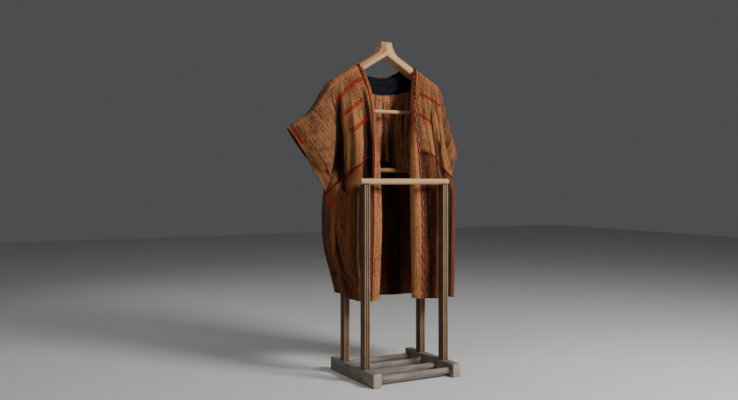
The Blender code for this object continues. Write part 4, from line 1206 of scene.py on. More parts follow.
@functools.lru_cache(maxsize=None)
def looks(name):
    """The part's shared finishes, made once."""
    cloth, stand = bpy.context.scene.kaftan_cloth, bpy.context.scene.kaftan_stand
    made = {
        "wool_upper": lambda: wool("wool_upper", cloth, (1.12, 1.0, 0.96), 56.0, 0.85, least=0.4),
        "wool_right": lambda: wool("wool_right", cloth, (1.08, 0.97, 0.88), 52.0, 0.90, least=0.5),
        "wool_lower": lambda: wool("wool_lower", cloth, (0.50, 0.34, 0.34), 62.0),
        # Partly painted light, partly a warmer wool: the top of the lower-left width made up to twice as light
        "wool_lower_left_painted_light": lambda: wool(
            "wool_lower_left_painted_light", cloth, (0.50, 0.34, 0.34), 62.0, facing=(0.05, (1.7, 2.0, 1.8))
        ),
        # Painted light: a copy of the wool about twice as light, for the back's inside seen through the open front
        "wool_inside_painted_light": lambda: wool("wool_inside_painted_light", cloth, (2.0, 1.75, 1.9), 44.0, 0.80),
        "wool_sleeve": lambda: wool("wool_sleeve", cloth, (0.98, 0.88, 0.94), 84.0, 0.95, least=0.75),
        "wool_band_left": lambda: wool("wool_band_left", cloth, (1.45, 1.30, 1.35), 50.0),
        "wool_band_right": lambda: wool(
            "wool_band_right", cloth, (1.60, 1.45, 1.50), 50.0, facing=(0.27, (0.26, 0.12, 0.11))
        ),
        "lining": lambda: lining_cloth(cloth),
        "red": lambda: thread("red_thread", cloth.red),
        # Painted light: the red made twice as bright for the underarm loop and the cuffs' inner overcasting, which
        # lie in shade
        "red_painted_light": lambda: thread("red_painted_light_thread", toned(cloth.red, 2.0)),
        "dark_red": lambda: thread("dark_red_thread", toned(cloth.red, 0.45)),
        "orange": lambda: thread("orange_thread", cloth.orange),
        "cream": lambda: thread("cream_thread", (0.38, 0.28, 0.17)),
        "tan": lambda: thread("tan_thread", (0.24, 0.15, 0.07)),
        "umber": lambda: thread("umber_thread", (0.040, 0.020, 0.013)),
        "olive": lambda: thread("olive_thread", (0.12, 0.085, 0.035)),
        "birch": lambda: wood("birch", stand.birch, toned(stand.birch, 0.72), (18, 220, 220), crack=0.12, wear=0.12),
        "rail": lambda: wood(
            "rail_wood", toned(stand.birch, 1.1), toned(stand.birch, 0.8), (14, 260, 260), crack=0.2, wear=0.15
        ),
        "brown_rail": lambda: wood(
            "brown_rail_wood", toned(stand.stained, 0.72), toned(stand.stained, 0.36), (14, 260, 260), crack=0.2,
            wear=0.3
        ),
        "weathered_long": lambda: wood(
            "weathered_long", stand.weathered, toned(stand.weathered, 0.45), (210, 13, 210), crack=0.7, wear=0.55,
            rough=0.8, relief_depth=0.0012
        ),
        "weathered_cross": lambda: wood(
            "weathered_cross", toned(stand.weathered, 1.15), toned(stand.weathered, 0.5), (12, 230, 230), crack=0.6,
            wear=0.5, rough=0.78, relief_depth=0.0010
        ),
        # End grain made paler than the feet's sides: painted light on the lit front ends
        "end_grain_painted_light": lambda: wood(
            "end_grain_painted_light", toned(stand.weathered, 1.5), toned(stand.weathered, 0.9), (160, 60, 160), crack=0.4,
            wear=0.3, rough=0.85
        ),
        "post": lambda: wood(
            "post_wood", toned(stand.redwood, 1.25), toned(stand.redwood, 0.55), (200, 200, 9), crack=0.4, wear=0.35
        ),
        # Partly painted light: the paler wood of the posts' lit front fillets
        "fillet_painted_light": lambda: wood("post_fillet_painted_light", stand.fillet_painted_light, toned(stand.fillet_painted_light, 0.6), (240, 240, 8), crack=0.3, wear=0.35),
    }
    return made[name]()


def sample(array, row, column):
    """A value of a grid at a place between its rows and columns."""
    j = min(max(int(row), 0), array.shape[0] - 2)
    k = min(max(int(column), 0), array.shape[1] - 2)
    down, right = row - j, column - k
    upper = array[j, k] * (1 - right) + array[j, k + 1] * right
    lower = array[j + 1, k] * (1 - right) + array[j + 1, k + 1] * right
    return upper * (1 - down) + lower * down


def place_on(grid, x, z):
    """Row and column of a grid's point at a given x and height."""
    count = np.arange(len(grid))
    rows = [np.interp(-z, -grid[:, c, 2], count) for c in range(grid.shape[1])]
    xs = np.array([np.interp(rows[c], count, grid[:, c, 0]) for c in range(grid.shape[1])])
    order = np.argsort(xs)
    column = float(np.interp(x, xs[order], order))
    return float(np.interp(column, range(len(rows)), rows)), column


def track(panel, places, side=1.0, lift=0.0):
    """Points and normals on a panel's face at a list of rows and columns, evenly spaced."""
    points, normals = [], []
    for row, column in places:
        normal = unit(sample(panel.reach, row, column))
        points.append(sample(panel.grid, row, column) + normal * side * (WALL / 2 + lift))
        normals.append(normal * side)
    return np.array(points), np.array(normals)


def even_marks(points, normals, pitch):
    """Marks at an even pitch along a line of points: place, way and normal."""
    runs = np.concatenate([[0], np.cumsum(np.linalg.norm(np.diff(points, axis=0), axis=1))])
    marks = np.arange(pitch / 2, runs[-1], pitch)
    at = np.stack([np.interp(marks, runs, points[:, i]) for i in range(3)], axis=1)
    ahead = np.stack([np.interp(marks + pitch / 4, runs, points[:, i]) for i in range(3)], axis=1)
    behind = np.stack([np.interp(marks - pitch / 4, runs, points[:, i]) for i in range(3)], axis=1)
    up = np.stack([np.interp(marks, runs, normals[:, i]) for i in range(3)], axis=1)
    return at, unit(ahead - behind), unit(up)


class Needlework:
    """Stitches gathered into one mesh, each a small rounded float of thread."""

    def __init__(self):
        self.work = bmesh.new()
        self.count = 0

    def stitch(self, at, way, up, size, lean=0.0, material=0, flat=0.6):
        """One stitch: its way may lean to one side in the cloth's plane."""
        side = np.cross(up, way)
        turned = way * math.cos(lean) + side * math.sin(lean)
        side = np.cross(up, turned)
        basis = Matrix((Vector(turned), Vector(side), Vector(up))).transposed().to_4x4()
        shape = Matrix.Diagonal((size.long / 2, size.half, size.half * flat, 1.0))
        place = Matrix.Translation(Vector(at)) @ basis @ shape
        made = bmesh.ops.create_uvsphere(self.work, u_segments=6, v_segments=4, radius=1.0, matrix=place)
        for face in {f for v in made["verts"] for f in v.link_faces}:
            face.material_index = material
        self.count += 1

    def line(self, points, normals, size, weave=0.22, material=0):
        """A row of stitches along a line, leaning a little to either side in turn."""
        at, way, up = even_marks(points, normals, size.pitch)
        for i in range(len(at)):
            uneven = 0.10 * math.sin(i * 12.9898)
            self.stitch(at[i], way[i], up[i], size, (weave if i % 2 else -weave) + uneven, material)

    def across(self, points, normals, size, half, material=0, weave=0.6):
        """Slanting stitches that fill a band between its two lines."""
        at, way, up = even_marks(points, normals, size.pitch)
        wide = Stitch(half * 2, size.pitch, size.half)
        for i in range(len(at)):
            turn = math.pi / 2 + (weave if i % 2 else -weave)
            self.stitch(at[i], way[i], up[i], wide, turn, material, flat=0.45)

    def piece(self, name, materials, slot):
        mesh = bpy.data.meshes.new(name)
        self.work.to_mesh(mesh)
        self.work.free()
        return finished(name, mesh, materials, [])


def whole_front(side):
    """A front's upper and lower widths as one panel, for lines that run down both."""
    panels = robe_panels()
    upper, lower = panels[f"front_{side}_upper"], panels[f"front_{side}_lower"]
    grid = np.concatenate([upper.grid, lower.grid[1:]])
    reach = np.concatenate([upper.reach, lower.reach[1:]])
    return Panel(grid, reach, -1, False)


def chest_bands(side, bands):
    """Two red lines with orange between them, across the chest."""
    panel = whole_front(side)
    sewing = Needlework()
    for band in bands:
        start, end = np.array((band.x0, band.z0)), np.array((band.x1, band.z1))
        way = (end - start) / np.linalg.norm(end - start)
        aside = np.array((-way[1], way[0]))
        for offset in (-BAND_HALF, 0.0, BAND_HALF):
            ends = start + aside * offset, end + aside * offset
            bow = np.array((0.0, band.bow))
            steps = [ends[0] * (1 - t) + ends[1] * t + bow * math.sin(math.pi * t) for t in np.linspace(0, 1, 26)]
            line = track(panel, [place_on(panel.grid, *step) for step in steps], lift=0.0004)
            if offset:
                sewing.line(*line, BAND_CHAIN, material=0)
            else:
                sewing.across(*line, FILLING, BAND_HALF * 0.85, material=1)
    filling = looks("orange" if side == "left" else "dark_red")
    sewing.piece(f"chest_bands_{side}", [looks("red"), filling], "red_thread")


def seam_line(panel, row, first=0.0, last=None, step=1, lift=0.0002):
    """A line across a panel at one of its rows."""
    last = panel.grid.shape[1] - 1 if last is None else last
    places = [(row, c) for c in np.arange(first, last + 0.01, step)]
    return track(panel, places, lift=lift)


def width_seams():
    """Red chain stitch along the seam between the upper and lower widths, all round."""
    panels = robe_panels()
    sewing = Needlework()
    for name in ("front_left_upper", "front_right_upper", "back_upper"):
        panel = panels[name]
        row = len(panel.grid) - 1
        for inset, material in ((0.0, 0), (-0.9, 1)):
            sewing.line(*seam_line(panel, row + inset), SEAM_CHAIN if not material else FINE_CHAIN, material=material)
    sewing.piece("seam_stitches", [looks("red"), looks("dark_red")], "red_thread")


def underarm_stitches():
    """A small loop of red thread that darns the left underarm."""
    panel = whole_front("left")
    last, places = panel.grid.shape[1] - 1, []
    marks = np.linspace(0, len(UNDERARM_LOOP) - 1, 36)
    shares, drops = (
        [float(np.interp(m, range(len(UNDERARM_LOOP)), column)) for m in marks] for column in zip(*UNDERARM_LOOP)
    )
    for share, z in zip(shares, drops):
        heights = panel.grid[:, round(share * last), 2]
        places.append((float(np.interp(-z, -heights, range(len(heights)))), share * last))
    line = track(panel, places, lift=0.0004)
    sewing = Needlework()
    sewing.line(*line, UNDERARM_CHAIN)
    sewing.piece("underarm_stitches", [looks("red_painted_light")], "red_thread")


def hem_stitches():
    """Running stitches round the hem."""
    panels = robe_panels()
    sewing = Needlework()
    for name in ("front_left_lower", "front_right_lower", "back_lower"):
        panel = panels[name]
        sewing.line(*seam_line(panel, len(panel.grid) - 1.6), OVERCAST, weave=0.7)
    sewing.piece("hem_stitches", [looks("dark_red")], "red_thread")


def cuff_stitches(side):
    """Two red lines near the cuff, all round on the left and by the ridge on the right, and the rim's overcasting."""
    panel = robe_panels()[f"sleeve_{side}"]
    sewing = Needlework()
    count, last = len(panel.grid), panel.grid.shape[1] - 1
    reach = count * (0.56 if side == "left" else 0.14)
    for back_by in (3.1, 4.5):
        rows = np.arange(-reach / 2, reach / 2, 2.0) % count
        rows = [row for row in rows if row < count - 1]
        line = track(panel, [(row, last - back_by) for row in rows], lift=0.0003)
        for part in unbroken(*line):
            sewing.line(*part, BAND_CHAIN, weave=0.15)
    behind = np.arange(count * 0.62, count * 0.96, 2.0)
    line = track(panel, [(row, last - 0.3) for row in behind], side=-1.0, lift=0.0003)
    sewing.line(*line, CUFF_OVERCAST, weave=0.9, material=1)
    sewing.piece(f"cuff_stitches_{side}", [looks("red"), looks("red_painted_light")], "red_thread")


def unbroken(points, normals, widest=0.03):
    """Parts of a line of points, cut where two neighbours lie far apart."""
    steps = np.linalg.norm(np.diff(points, axis=0), axis=1)
    cuts = [0, *(i + 1 for i, step in enumerate(steps) if step > widest), len(points)]
    return [(points[a:b], normals[a:b]) for a, b in zip(cuts, cuts[1:]) if b - a > 2]


def beside_edge(panel, gap_at):
    """A line that follows a front's free edge, as far inside it as the height gives."""
    points, normals = [], []
    for row in np.arange(ROLL_END / 2, len(panel.grid) - 1.0, 2.0):
        start, inner = sample(panel.grid, row, 0.0), sample(panel.grid, row, 3.0)
        column = 3.0 * gap_at(start[2]) / np.linalg.norm(inner - start)
        place, normal = track(panel, [(row, column)], lift=0.0004)
        points.append(place[0])
        normals.append(normal[0])
    return np.array(points), np.array(normals)


def edge_stitches(side):
    """The red lines down a front's free edge: one on the left that runs out from it at the neck, two on the right."""
    panel = whole_front(side)
    sewing = Needlework()
    if side == "left":
        line = beside_edge(panel, lambda z: 0.0012 + 0.0105 * ease((z - 0.885) / 0.12))
        sewing.line(*line, EDGE_CHAIN, weave=0.12)
    else:
        for inside in (0.0004, BRAID_WIDE + 0.0018):
            sewing.line(*beside_edge(panel, lambda z: inside), THIN_CHAIN, weave=0.15)
    sewing.piece(f"edge_stitches_{side}", [looks("red")], "red_thread")


def neckline_stitches():
    """Red overcasting along the back's neckline and dashes down the right shoulder."""
    panels = robe_panels()
    back, right = panels["back_upper"], panels["front_right_upper"]
    sewing = Needlework()
    xs = back.grid[0, :, 0]
    neck = [k for k in range(len(xs)) if NECK_LEFT < xs[k] < NECK_RIGHT]
    line = track(back, [(0.4, k) for k in neck], lift=0.0003)
    sewing.line(*line, OVERCAST, weave=0.9, material=1)
    columns = right.grid.shape[1] - 1
    line = track(right, [(13.5, k) for k in np.linspace(0.5, columns - 0.5, 30)], lift=0.0003)
    sewing.line(*line, RUNNING, weave=0.25)
    sewing.piece("shoulder_stitches", [looks("red"), looks("dark_red")], "red_thread")


def plaited_braid(side, wide, first, colours):
    """A flat braid sewn inside a front's free edge: slanting floats that meet down its middle."""
    panel = whole_front(side)
    sewing = Needlework()
    for half, lean in ((0.25, 0.75), (0.75, -0.75)):
        line = beside_edge(panel, lambda z: first(z) + wide * half)
        at, way, up = even_marks(*line, 0.0024)
        for i in range(len(at)):
            size = Stitch(wide * 0.72, 0.0024, 0.0014)
            plain = at[i][2] > BRAID_PALE_BELOW and i % 5
            colour = 1 if plain else (i * 7 // 3 + (half > 0.5)) % len(colours)
            sewing.stitch(at[i], way[i], up[i], size, lean, colour, flat=0.8)
    mesh = to_mesh(sewing.work, f"braid_{side}")
    finished(f"braid_{side}", mesh, [looks(colour) for colour in colours], [f"edge_braid_{side}"])


def lining_sheet():
    """The half moon of dark lining inside the back of the neck."""
    back = robe_panels()["back_upper"]
    first, last = LINING_REACH
    rows = back.grid.shape[0]
    columns, ways = [], []
    for place in range(back.grid.shape[1]):
        line, away = back.grid[:, place], back.reach[:, place]
        x = line[0, 0]
        if not first <= x <= last:
            continue
        behind = not NECKLINE[1].x < x < NECKLINE[-2].x
        top = line[ROLL_END, 2] - 0.004 if behind else line[0, 2] - 0.0015
        foot = min(LINING_FOOT + LINING_CURVE * (x - LINING_MIDDLE) ** 2, top - 0.006)
        points, normals = [], []
        for i in range(LINING_ROWS + 1):
            share = i / LINING_ROWS
            z = top + (foot - top) * share
            place_row = float(np.interp(z, line[::-1, 2], np.arange(rows)[::-1]))
            low = min(int(place_row), rows - 2)
            part = place_row - low
            point = line[low] * (1 - part) + line[low + 1] * part
            normal = unit(away[low] * (1 - part) + away[low + 1] * part)
            wrinkle = 0.0022 * noise.noise(Vector((x * 22, z * 150 + x * 60, 3)))
            loose = math.sin(math.pi * share) * (0.0024 + 0.0012 * noise.noise(Vector((x * 60, z * 60, 3))) + wrinkle)
            points.append(point - normal * (WALL / 2 + LINING_GAP + LINING_WALL / 2 + max(loose, 0.0)))
            normals.append(normal)
        columns.append(points)
        ways.append(normals)
    return np.array(columns).transpose(1, 0, 2), np.array(ways).transpose(1, 0, 2)


def outline_prism(work, outline, start, end, axis):
    """An outline drawn across an axis and pulled along it."""
    order = {"x": (2, 0, 1), "y": (0, 2, 1), "z": (0, 1, 2)}[axis]

    def place(a, b, along):
        values = (a, b, along)
        return Vector(values[order[i]] for i in range(3))

    face = work.faces.new([work.verts.new(place(a, b, start)) for a, b in outline])
    moved = bmesh.ops.extrude_face_region(work, geom=[face])["geom"]
    verts = [v for v in moved if isinstance(v, bmesh.types.BMVert)]
    bmesh.ops.translate(work, verts=verts, vec=place(0.0, 0.0, end - start))
    bmesh.ops.recalc_face_normals(work, faces=work.faces)


def rounded(work, edges, offset, segments):
    bmesh.ops.bevel(
        work, geom=edges, offset=offset, segments=segments, profile=0.5, affect="EDGES",
        clamp_overlap=True, material=-1
    )


def to_mesh(work, name):
    mesh = bpy.data.meshes.new(name)
    work.to_mesh(mesh)
    work.free()
    return mesh


def foot(name, side):
    """A foot of the stand: a worn block with softened edges."""
    work = bmesh.new()
    bmesh.ops.create_cube(work, size=1.0)
    bmesh.ops.scale(work, verts=work.verts, vec=(FOOT_WIDE, FOOT_LONG, FOOT_HIGH))
    bmesh.ops.translate(work, verts=work.verts, vec=(side * FOOT_X, 0.0, FOOT_HIGH / 2))
    rounded(work, list(work.edges), 0.0035, 3)
    long_edges = [e for e in work.edges if abs(e.verts[0].co.y - e.verts[1].co.y) > FOOT_LONG / 2]
    bmesh.ops.subdivide_edges(work, edges=long_edges, cuts=60, use_grid_fill=False)
    middle = Vector((side * FOOT_X, 0.0, FOOT_HIGH / 2))
    for vert in work.verts:
        worn = noise.noise(Vector((vert.co.x * 60, vert.co.y * 22, vert.co.z * 60)))
        if 0.004 < vert.co.z:
            pull = (middle - vert.co) * Vector((1, 0, 1))
            vert.co += pull.normalized() * (0.00035 + 0.00035 * worn)
    # End faces in a paler wood: end grain, made lighter as painted light on the lit front ends
    for face in work.faces:
        face.material_index = 1 if abs(face.normal.y) > 0.7 else 0
    return finished(
        f"wood_{name}", to_mesh(work, name), [looks("weathered_long"), looks("end_grain_painted_light")], [name]
    )


def rod(name, radius, x_ends, y, z, look, bow=0.0):
    """A round rod along X with softened ends and a slightly uneven surface."""
    low, high = x_ends
    work = bmesh.new()
    turn = Matrix.Translation(((low + high) / 2, y, z)) @ Matrix.Rotation(math.pi / 2, 4, "Y")
    bmesh.ops.create_cone(
        work, cap_ends=True, segments=32, radius1=radius, radius2=radius, depth=high - low, matrix=turn
    )
    rims = [e for e in work.edges if abs(e.verts[0].co.x - e.verts[1].co.x) < 1e-6]
    rounded(work, rims, 0.0010, 2)
    lengths = [e for e in work.edges if abs(e.verts[0].co.x - e.verts[1].co.x) > (high - low) / 2]
    bmesh.ops.subdivide_edges(work, edges=lengths, cuts=40, use_grid_fill=False)
    axis = Vector((0, y, z))
    for vert in work.verts:
        share = (vert.co.x - low) / (high - low)
        out = (vert.co - axis) * Vector((0, 1, 1))
        dent = 0.5 + 0.5 * noise.noise(Vector((vert.co.x * 26, vert.co.y * 90, vert.co.z * 90)))
        vert.co -= out * 0.035 * dent
        vert.co.z -= bow * math.sin(math.pi * min(max(share, 0), 1))
    return finished(f"wood_{name}", to_mesh(work, name), [looks(look)], [name])


def post(name, x, y, base, top):
    """A post with three fillets and two grooves down its front."""
    half_wide, half_deep = POST_WIDE / 2, POST_DEEP / 2
    front = y - half_deep
    outline = [(x - half_wide, front)]
    for middle in (x - GROOVE_WIDE, x + GROOVE_WIDE):
        outline.append((middle - GROOVE_WIDE / 2, front))
        outline.append((middle - GROOVE_WIDE / 4, front + GROOVE_DEEP))
        outline.append((middle + GROOVE_WIDE / 4, front + GROOVE_DEEP))
        outline.append((middle + GROOVE_WIDE / 2, front))
    outline += [(x + half_wide, front), (x + half_wide, y + half_deep), (x - half_wide, y + half_deep)]
    work = bmesh.new()
    outline_prism(work, outline, base, 0.6 if callable(top) else top, "z")
    upright = [e for e in work.edges if abs(e.verts[0].co.z - e.verts[1].co.z) > 0.1]
    on_front = [e for e in upright if e.verts[0].co.y < front + 1e-5]
    on_back = [e for e in upright if e.verts[0].co.y > y]
    rounded(work, on_front, 0.0007, 2)
    rounded(work, [e for e in on_back if e.is_valid], 0.0015, 3)
    if callable(top):
        for vert in work.verts:
            if vert.co.z > 0.5:
                vert.co.z = top(vert.co.x)
    lengths = [e for e in work.edges if abs(e.verts[0].co.z - e.verts[1].co.z) > 0.3]
    bmesh.ops.subdivide_edges(work, edges=lengths, cuts=48, use_grid_fill=False)
    work.normal_update()
    # Front fillets in a paler wood, sides and groove walls dark: partly the fillets' own colour, partly painted light
    # on the lit front and painted shade on the sides
    for face in work.faces:
        middle = face.calc_center_median()
        face.material_index = 1 if middle.y < front + 0.0004 and face.normal.y < -0.5 else 0
        if abs(face.normal.y) > 0.5 and middle.y > front + GROOVE_DEEP * 0.8 and middle.y < y:
            face.material_index = 2
    mesh = to_mesh(work, name)
    return finished(f"wood_{name}", mesh, [looks("post"), looks("fillet_painted_light"), looks("post")], [name])


def hanger_arm(name, side):
    """Half of the hanger: its neck and one sloping arm, with a joint down the middle."""
    slope, neck = (ARM_SLOPE_LEFT, NECK_HALF_LEFT) if side < 0 else (ARM_SLOPE_RIGHT, NECK_HALF_RIGHT)
    inner_top = ARM_AT_TENTH + 0.1 * (ARM_SLOPE_LEFT + ARM_SLOPE_RIGHT) / 2

    def top(x):
        return ARM_AT_TENTH - slope * (x - 0.1)

    profile = [
        (GAP / 2, HANGER_TOP),
        (neck, HANGER_TOP),
        (neck + 0.002, HANGER_TOP - 0.016),
        (neck + 0.008, HANGER_TOP - 0.032),
        (neck + 0.020, top(neck + 0.020)),
        (HANGER_END - 0.008, top(HANGER_END - 0.008)),
        (HANGER_END, top(HANGER_END) - 0.008),
        (HANGER_END, top(HANGER_END) - ARM_THICK + 0.008),
        (HANGER_END - 0.008, top(HANGER_END - 0.008) - ARM_THICK),
        (GAP / 2, inner_top - ARM_THICK),
    ]
    outline = [(side * x, z) for x, z in profile]
    near, far = HANGER_Y - HANGER_DEEP / 2, HANGER_Y + HANGER_DEEP / 2
    work = bmesh.new()
    outline_prism(work, outline, near, far, "y")
    rims = [e for e in work.edges if abs(e.verts[0].co.y - e.verts[1].co.y) < 1e-6]
    rims = [e for e in rims if max(abs(v.co.x) for v in e.verts) > GAP]
    rounded(work, rims, HANGER_ROUND, 7)
    for vert in work.verts:
        share = max(0.0, (vert.co.z - NECK_TAPER_FROM) / (HANGER_TOP - NECK_TAPER_FROM))
        vert.co.y = HANGER_Y + (vert.co.y - HANGER_Y) * (1 - NECK_TAPER * share)
    work.normal_update()
    for face in work.faces:
        mitre = max(abs(v.co.x) for v in face.verts) < 2 * GAP
        stained = not mitre and (face.normal.z > 0.12 or face.normal.y > 0.5 or abs(face.normal.x) > 0.6)
        face.material_index = 1 if stained else 0
    mesh = to_mesh(work, name)
    turn = (0.0, -side * math.atan(slope), 0.0)
    stand = bpy.context.scene.kaftan_stand
    level = ARM_AT_TENTH + 0.1 * slope + slope * side * PLACE.x - 0.014
    upper = ((0.62, 0.36, 0.16), slope * side, level) if side < 0 else None
    pale = wood(f"birch_{name}", stand.birch, toned(stand.birch, 0.72), (16, 200, 200), turn, 0.12, 0.10, upper=upper)
    edge = wood(f"stained_{name}", stand.stained, toned(stand.stained, 0.6), (14, 180, 180), turn, 0.3, 0.3)
    return finished(f"wood_{name}", mesh, [pale, edge], [name])


class KAFTAN_OT_stage(bpy.types.Operator):
    """Lay the floor, set the lights and place the camera"""

    bl_idname = "kaftan.stage"
    bl_label = "Floor, light and camera"

    def execute(self, context):
        settings = context.scene.kaftan_stage
        work = bmesh.new()
        bmesh.ops.create_grid(work, x_segments=2, y_segments=2, size=7.0)
        mesh = to_mesh(work, "floor")
        mesh.materials.append(floor_finish(settings))
        floor = bpy.data.objects.new("floor", mesh)
        context.scene.collection.objects.link(floor)
        for name, power, size, place in (
            ("key", settings.key, 0.8, (1.05, -2.0, 1.9)),
            ("fill", settings.key * 0.16, 1.8, (-2.0, -1.0, 2.5)),
            ("rim", settings.key * 0.10, 1.6, (-0.8, 1.8, 2.0)),
        ):
            lamp = bpy.data.lights.new(name, "AREA")
            lamp.energy, lamp.size = power, size
            holder = bpy.data.objects.new(name, lamp)
            context.scene.collection.objects.link(holder)
            holder.location = place
            aim = Vector((0.0, 0.05, 0.62)) - Vector(place)
            holder.rotation_euler = aim.to_track_quat("-Z", "Y").to_euler()
        world = context.scene.world or bpy.data.worlds.new("studio")
        context.scene.world = world
        world.use_nodes = True
        sky = world.node_tree.nodes["Background"]
        sky.inputs["Color"].default_value = (0.78, 0.80, 0.84, 1.0)
        sky.inputs["Strength"].default_value = 0.10
        view = bpy.data.cameras.new("view")
        view.sensor_width, view.lens = 36.0, 38.54
        view.shift_y = -17 / 738
        camera = bpy.data.objects.new("view", view)
        context.scene.collection.objects.link(camera)
        camera.location = Vector((-1.360, -2.289, 0.64)) + PLACE
        camera.rotation_euler = (math.pi / 2, 0.0, -math.atan2(0.483, 0.8755))
        context.scene.camera = camera
        return {"FINISHED"}


class KAFTAN_OT_fronts(bpy.types.Operator):
    """Drape the two fronts, each with its upper and lower width"""

    bl_idname = "kaftan.fronts"
    bl_label = "Fronts"

    def execute(self, context):
        panels = robe_panels()
        for side, offset in (("left", 0.13), ("right", 0.71)):
            upper = drape(f"cloth_front_{side}_upper", panels[f"front_{side}_upper"],
                          looks("wool_right" if side == "right" else "wool_upper"), f"front_{side}_upper", offset)
            lower_look = "wool_lower_left_painted_light" if side == "left" else "wool_lower"
            lower = drape(f"cloth_front_{side}_lower", panels[f"front_{side}_lower"],
                          looks(lower_look), f"front_{side}_lower", offset + 0.37)
        return {"FINISHED"}


class KAFTAN_OT_back(bpy.types.Operator):
    """Drape the back, with its upper and lower width"""

    bl_idname = "kaftan.back"
    bl_label = "Back"

    def execute(self, context):
        panels = robe_panels()
        upper = drape(
            "cloth_back_upper", panels["back_upper"], looks("wool_upper"), "back_upper", 1.9,
            inside=looks("wool_inside_painted_light")
        )
        lower = drape("cloth_back_lower", panels["back_lower"], looks("wool_lower"), "back_lower", 2.6)
        return {"FINISHED"}


class KAFTAN_OT_sleeves(bpy.types.Operator):
    """Hang the two wide short sleeves"""

    bl_idname = "kaftan.sleeves"
    bl_label = "Sleeves"

    def execute(self, context):
        panels = robe_panels()
        for side, offset in (("left", 3.1), ("right", 3.6)):
            node = f"sleeve_{side}"
            piece = drape(f"cloth_{node}", panels[node], looks("wool_sleeve"), node, offset, turned=True)
        return {"FINISHED"}


class KAFTAN_OT_bands(bpy.types.Operator):
    """Turn the strips inside the free edges of the fronts"""

    bl_idname = "kaftan.bands"
    bl_label = "Front strips"

    def execute(self, context):
        panels = robe_panels()
        for side in ("left", "right"):
            node = f"front_band_{side}"
            piece = drape(f"cloth_{node}", panels[node], looks(f"wool_band_{side}"), node, 0.0)
        return {"FINISHED"}


class KAFTAN_OT_lining(bpy.types.Operator):
    """Lay the dark lining inside the back of the neck"""

    bl_idname = "kaftan.lining"
    bl_label = "Yoke lining"

    def execute(self, context):
        middle, reach = lining_sheet()
        size = WEAVE["yoke_lining"]
        painted_shade_and_light = np.full(middle.shape[:2], 0.5)
        mesh = cloth_mesh(
            "cloth_yoke_lining", middle, reach, LINING_WALL, False,
            lambda down, across: (across * size.width, down * size.length), painted_shade_and_light,
        )
        piece = finished("cloth_yoke_lining", mesh, [looks("lining")], ["yoke_lining"])
        return {"FINISHED"}


class KAFTAN_OT_needlework(bpy.types.Operator):
    """Sew the red bands, seams, hem, cuffs and edges, and the braids beside the edges"""

    bl_idname = "kaftan.needlework"
    bl_label = "Stitching and braids"

    def execute(self, context):
        chest_bands("left", BANDS_LEFT)
        chest_bands("right", BANDS_RIGHT)
        width_seams()
        hem_stitches()
        neckline_stitches()
        underarm_stitches()
        for side in ("left", "right"):
            cuff_stitches(side)
            edge_stitches(side)
        plaited_braid("left", 0.0050, lambda z: 0.0035 + 0.0005 * ease((z - 0.885) / 0.12), ("olive", "umber", "tan"))
        plaited_braid("right", BRAID_WIDE, lambda z: 0.0012, ("cream", "umber", "tan", "umber", "umber"))
        return {"FINISHED"}


class KAFTAN_OT_hanger(bpy.types.Operator):
    """Make the two halves of the hanger"""

    bl_idname = "kaftan.hanger"
    bl_label = "Hanger"

    def execute(self, context):
        hanger_arm("hanger_left", -1)
        hanger_arm("hanger_right", 1)
        return {"FINISHED"}


class KAFTAN_OT_posts(bpy.types.Operator):
    """Make the four posts"""

    bl_idname = "kaftan.posts"
    bl_label = "Posts"

    def execute(self, context):
        base = FOOT_HIGH + GAP
        for name, side in (("left", -1), ("right", 1)):
            post(f"post_front_{name}", side * FOOT_X, -POST_Y, base, FRONT_POST_TOP)
            post(f"post_back_{name}", side * FOOT_X, POST_Y, base, lambda x: arm_top(x) - ARM_THICK - 3 * GAP)
        return {"FINISHED"}


class KAFTAN_OT_feet(bpy.types.Operator):
    """Make the feet and the shoe rods between them"""

    bl_idname = "kaftan.feet"
    bl_label = "Feet and shoe rods"

    def execute(self, context):
        foot("foot_left", -1)
        foot("foot_right", 1)
        inner = FOOT_X - FOOT_WIDE / 2 - GAP
        for i in range(4):
            y = ROD_FIRST_Y + ROD_PITCH * i
            rod(f"shoe_rod_{i + 1}", ROD_RADIUS, (-inner, inner), y, ROD_Z, "weathered_cross")
        return {"FINISHED"}


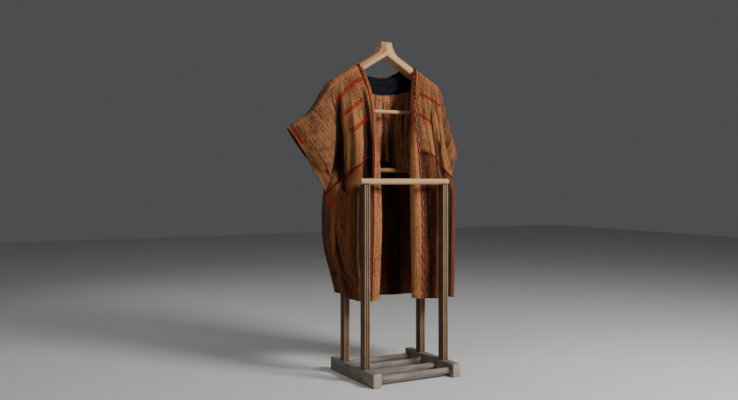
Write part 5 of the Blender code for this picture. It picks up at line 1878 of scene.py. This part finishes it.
class KAFTAN_OT_rails(bpy.types.Operator):
    """Make the rails between the back posts and the bar on the front posts"""

    bl_idname = "kaftan.rails"
    bl_label = "Rails and front bar"

    def execute(self, context):
        between = FOOT_X - POST_WIDE / 2 - GAP
        for name, z, radius in RAILS:
            rod(
                name, radius, (-between, between), POST_Y, z, "rail" if name == "rail_upper" else "brown_rail",
            )
        bar_z = FRONT_POST_TOP + GAP + FRONT_BAR_RADIUS
        rod("front_bar", FRONT_BAR_RADIUS, (-FRONT_BAR_REACH, FRONT_BAR_REACH), -POST_Y, bar_z, "rail")
        return {"FINISHED"}


STEPS = (
    KAFTAN_OT_stage,
    KAFTAN_OT_feet,
    KAFTAN_OT_posts,
    KAFTAN_OT_rails,
    KAFTAN_OT_hanger,
    KAFTAN_OT_back,
    KAFTAN_OT_fronts,
    KAFTAN_OT_sleeves,
    KAFTAN_OT_bands,
    KAFTAN_OT_lining,
    KAFTAN_OT_needlework,
)


class KAFTAN_PT_panel(bpy.types.Panel):
    """The kaftan's settings and the steps that make it"""

    bl_idname = "KAFTAN_PT_panel"
    bl_label = "Kaftan"
    bl_space_type = "VIEW_3D"
    bl_region_type = "UI"
    bl_category = "Kaftan"

    def draw(self, context):
        for settings in (context.scene.kaftan_cloth, context.scene.kaftan_stand, context.scene.kaftan_stage):
            box = self.layout.box()
            for name in settings.__annotations__:
                box.prop(settings, name)
        for step in STEPS:
            self.layout.operator(step.bl_idname)


SETTINGS = (("kaftan_cloth", ClothSettings), ("kaftan_stand", StandSettings), ("kaftan_stage", StageSettings))


def register():
    for name, group in SETTINGS:
        bpy.utils.register_class(group)
        setattr(bpy.types.Scene, name, PointerProperty(type=group))
    for step in STEPS:
        bpy.utils.register_class(step)
    bpy.utils.register_class(KAFTAN_PT_panel)


def unregister():
    bpy.utils.unregister_class(KAFTAN_PT_panel)
    for step in reversed(STEPS):
        bpy.utils.unregister_class(step)
    for name, group in reversed(SETTINGS):
        delattr(bpy.types.Scene, name)
        bpy.utils.unregister_class(group)


def main():
    register()
    for step in STEPS:
        area, action = step.bl_idname.split(".")
        getattr(getattr(bpy.ops, area), action)()


if __name__ == "__main__":
    main()
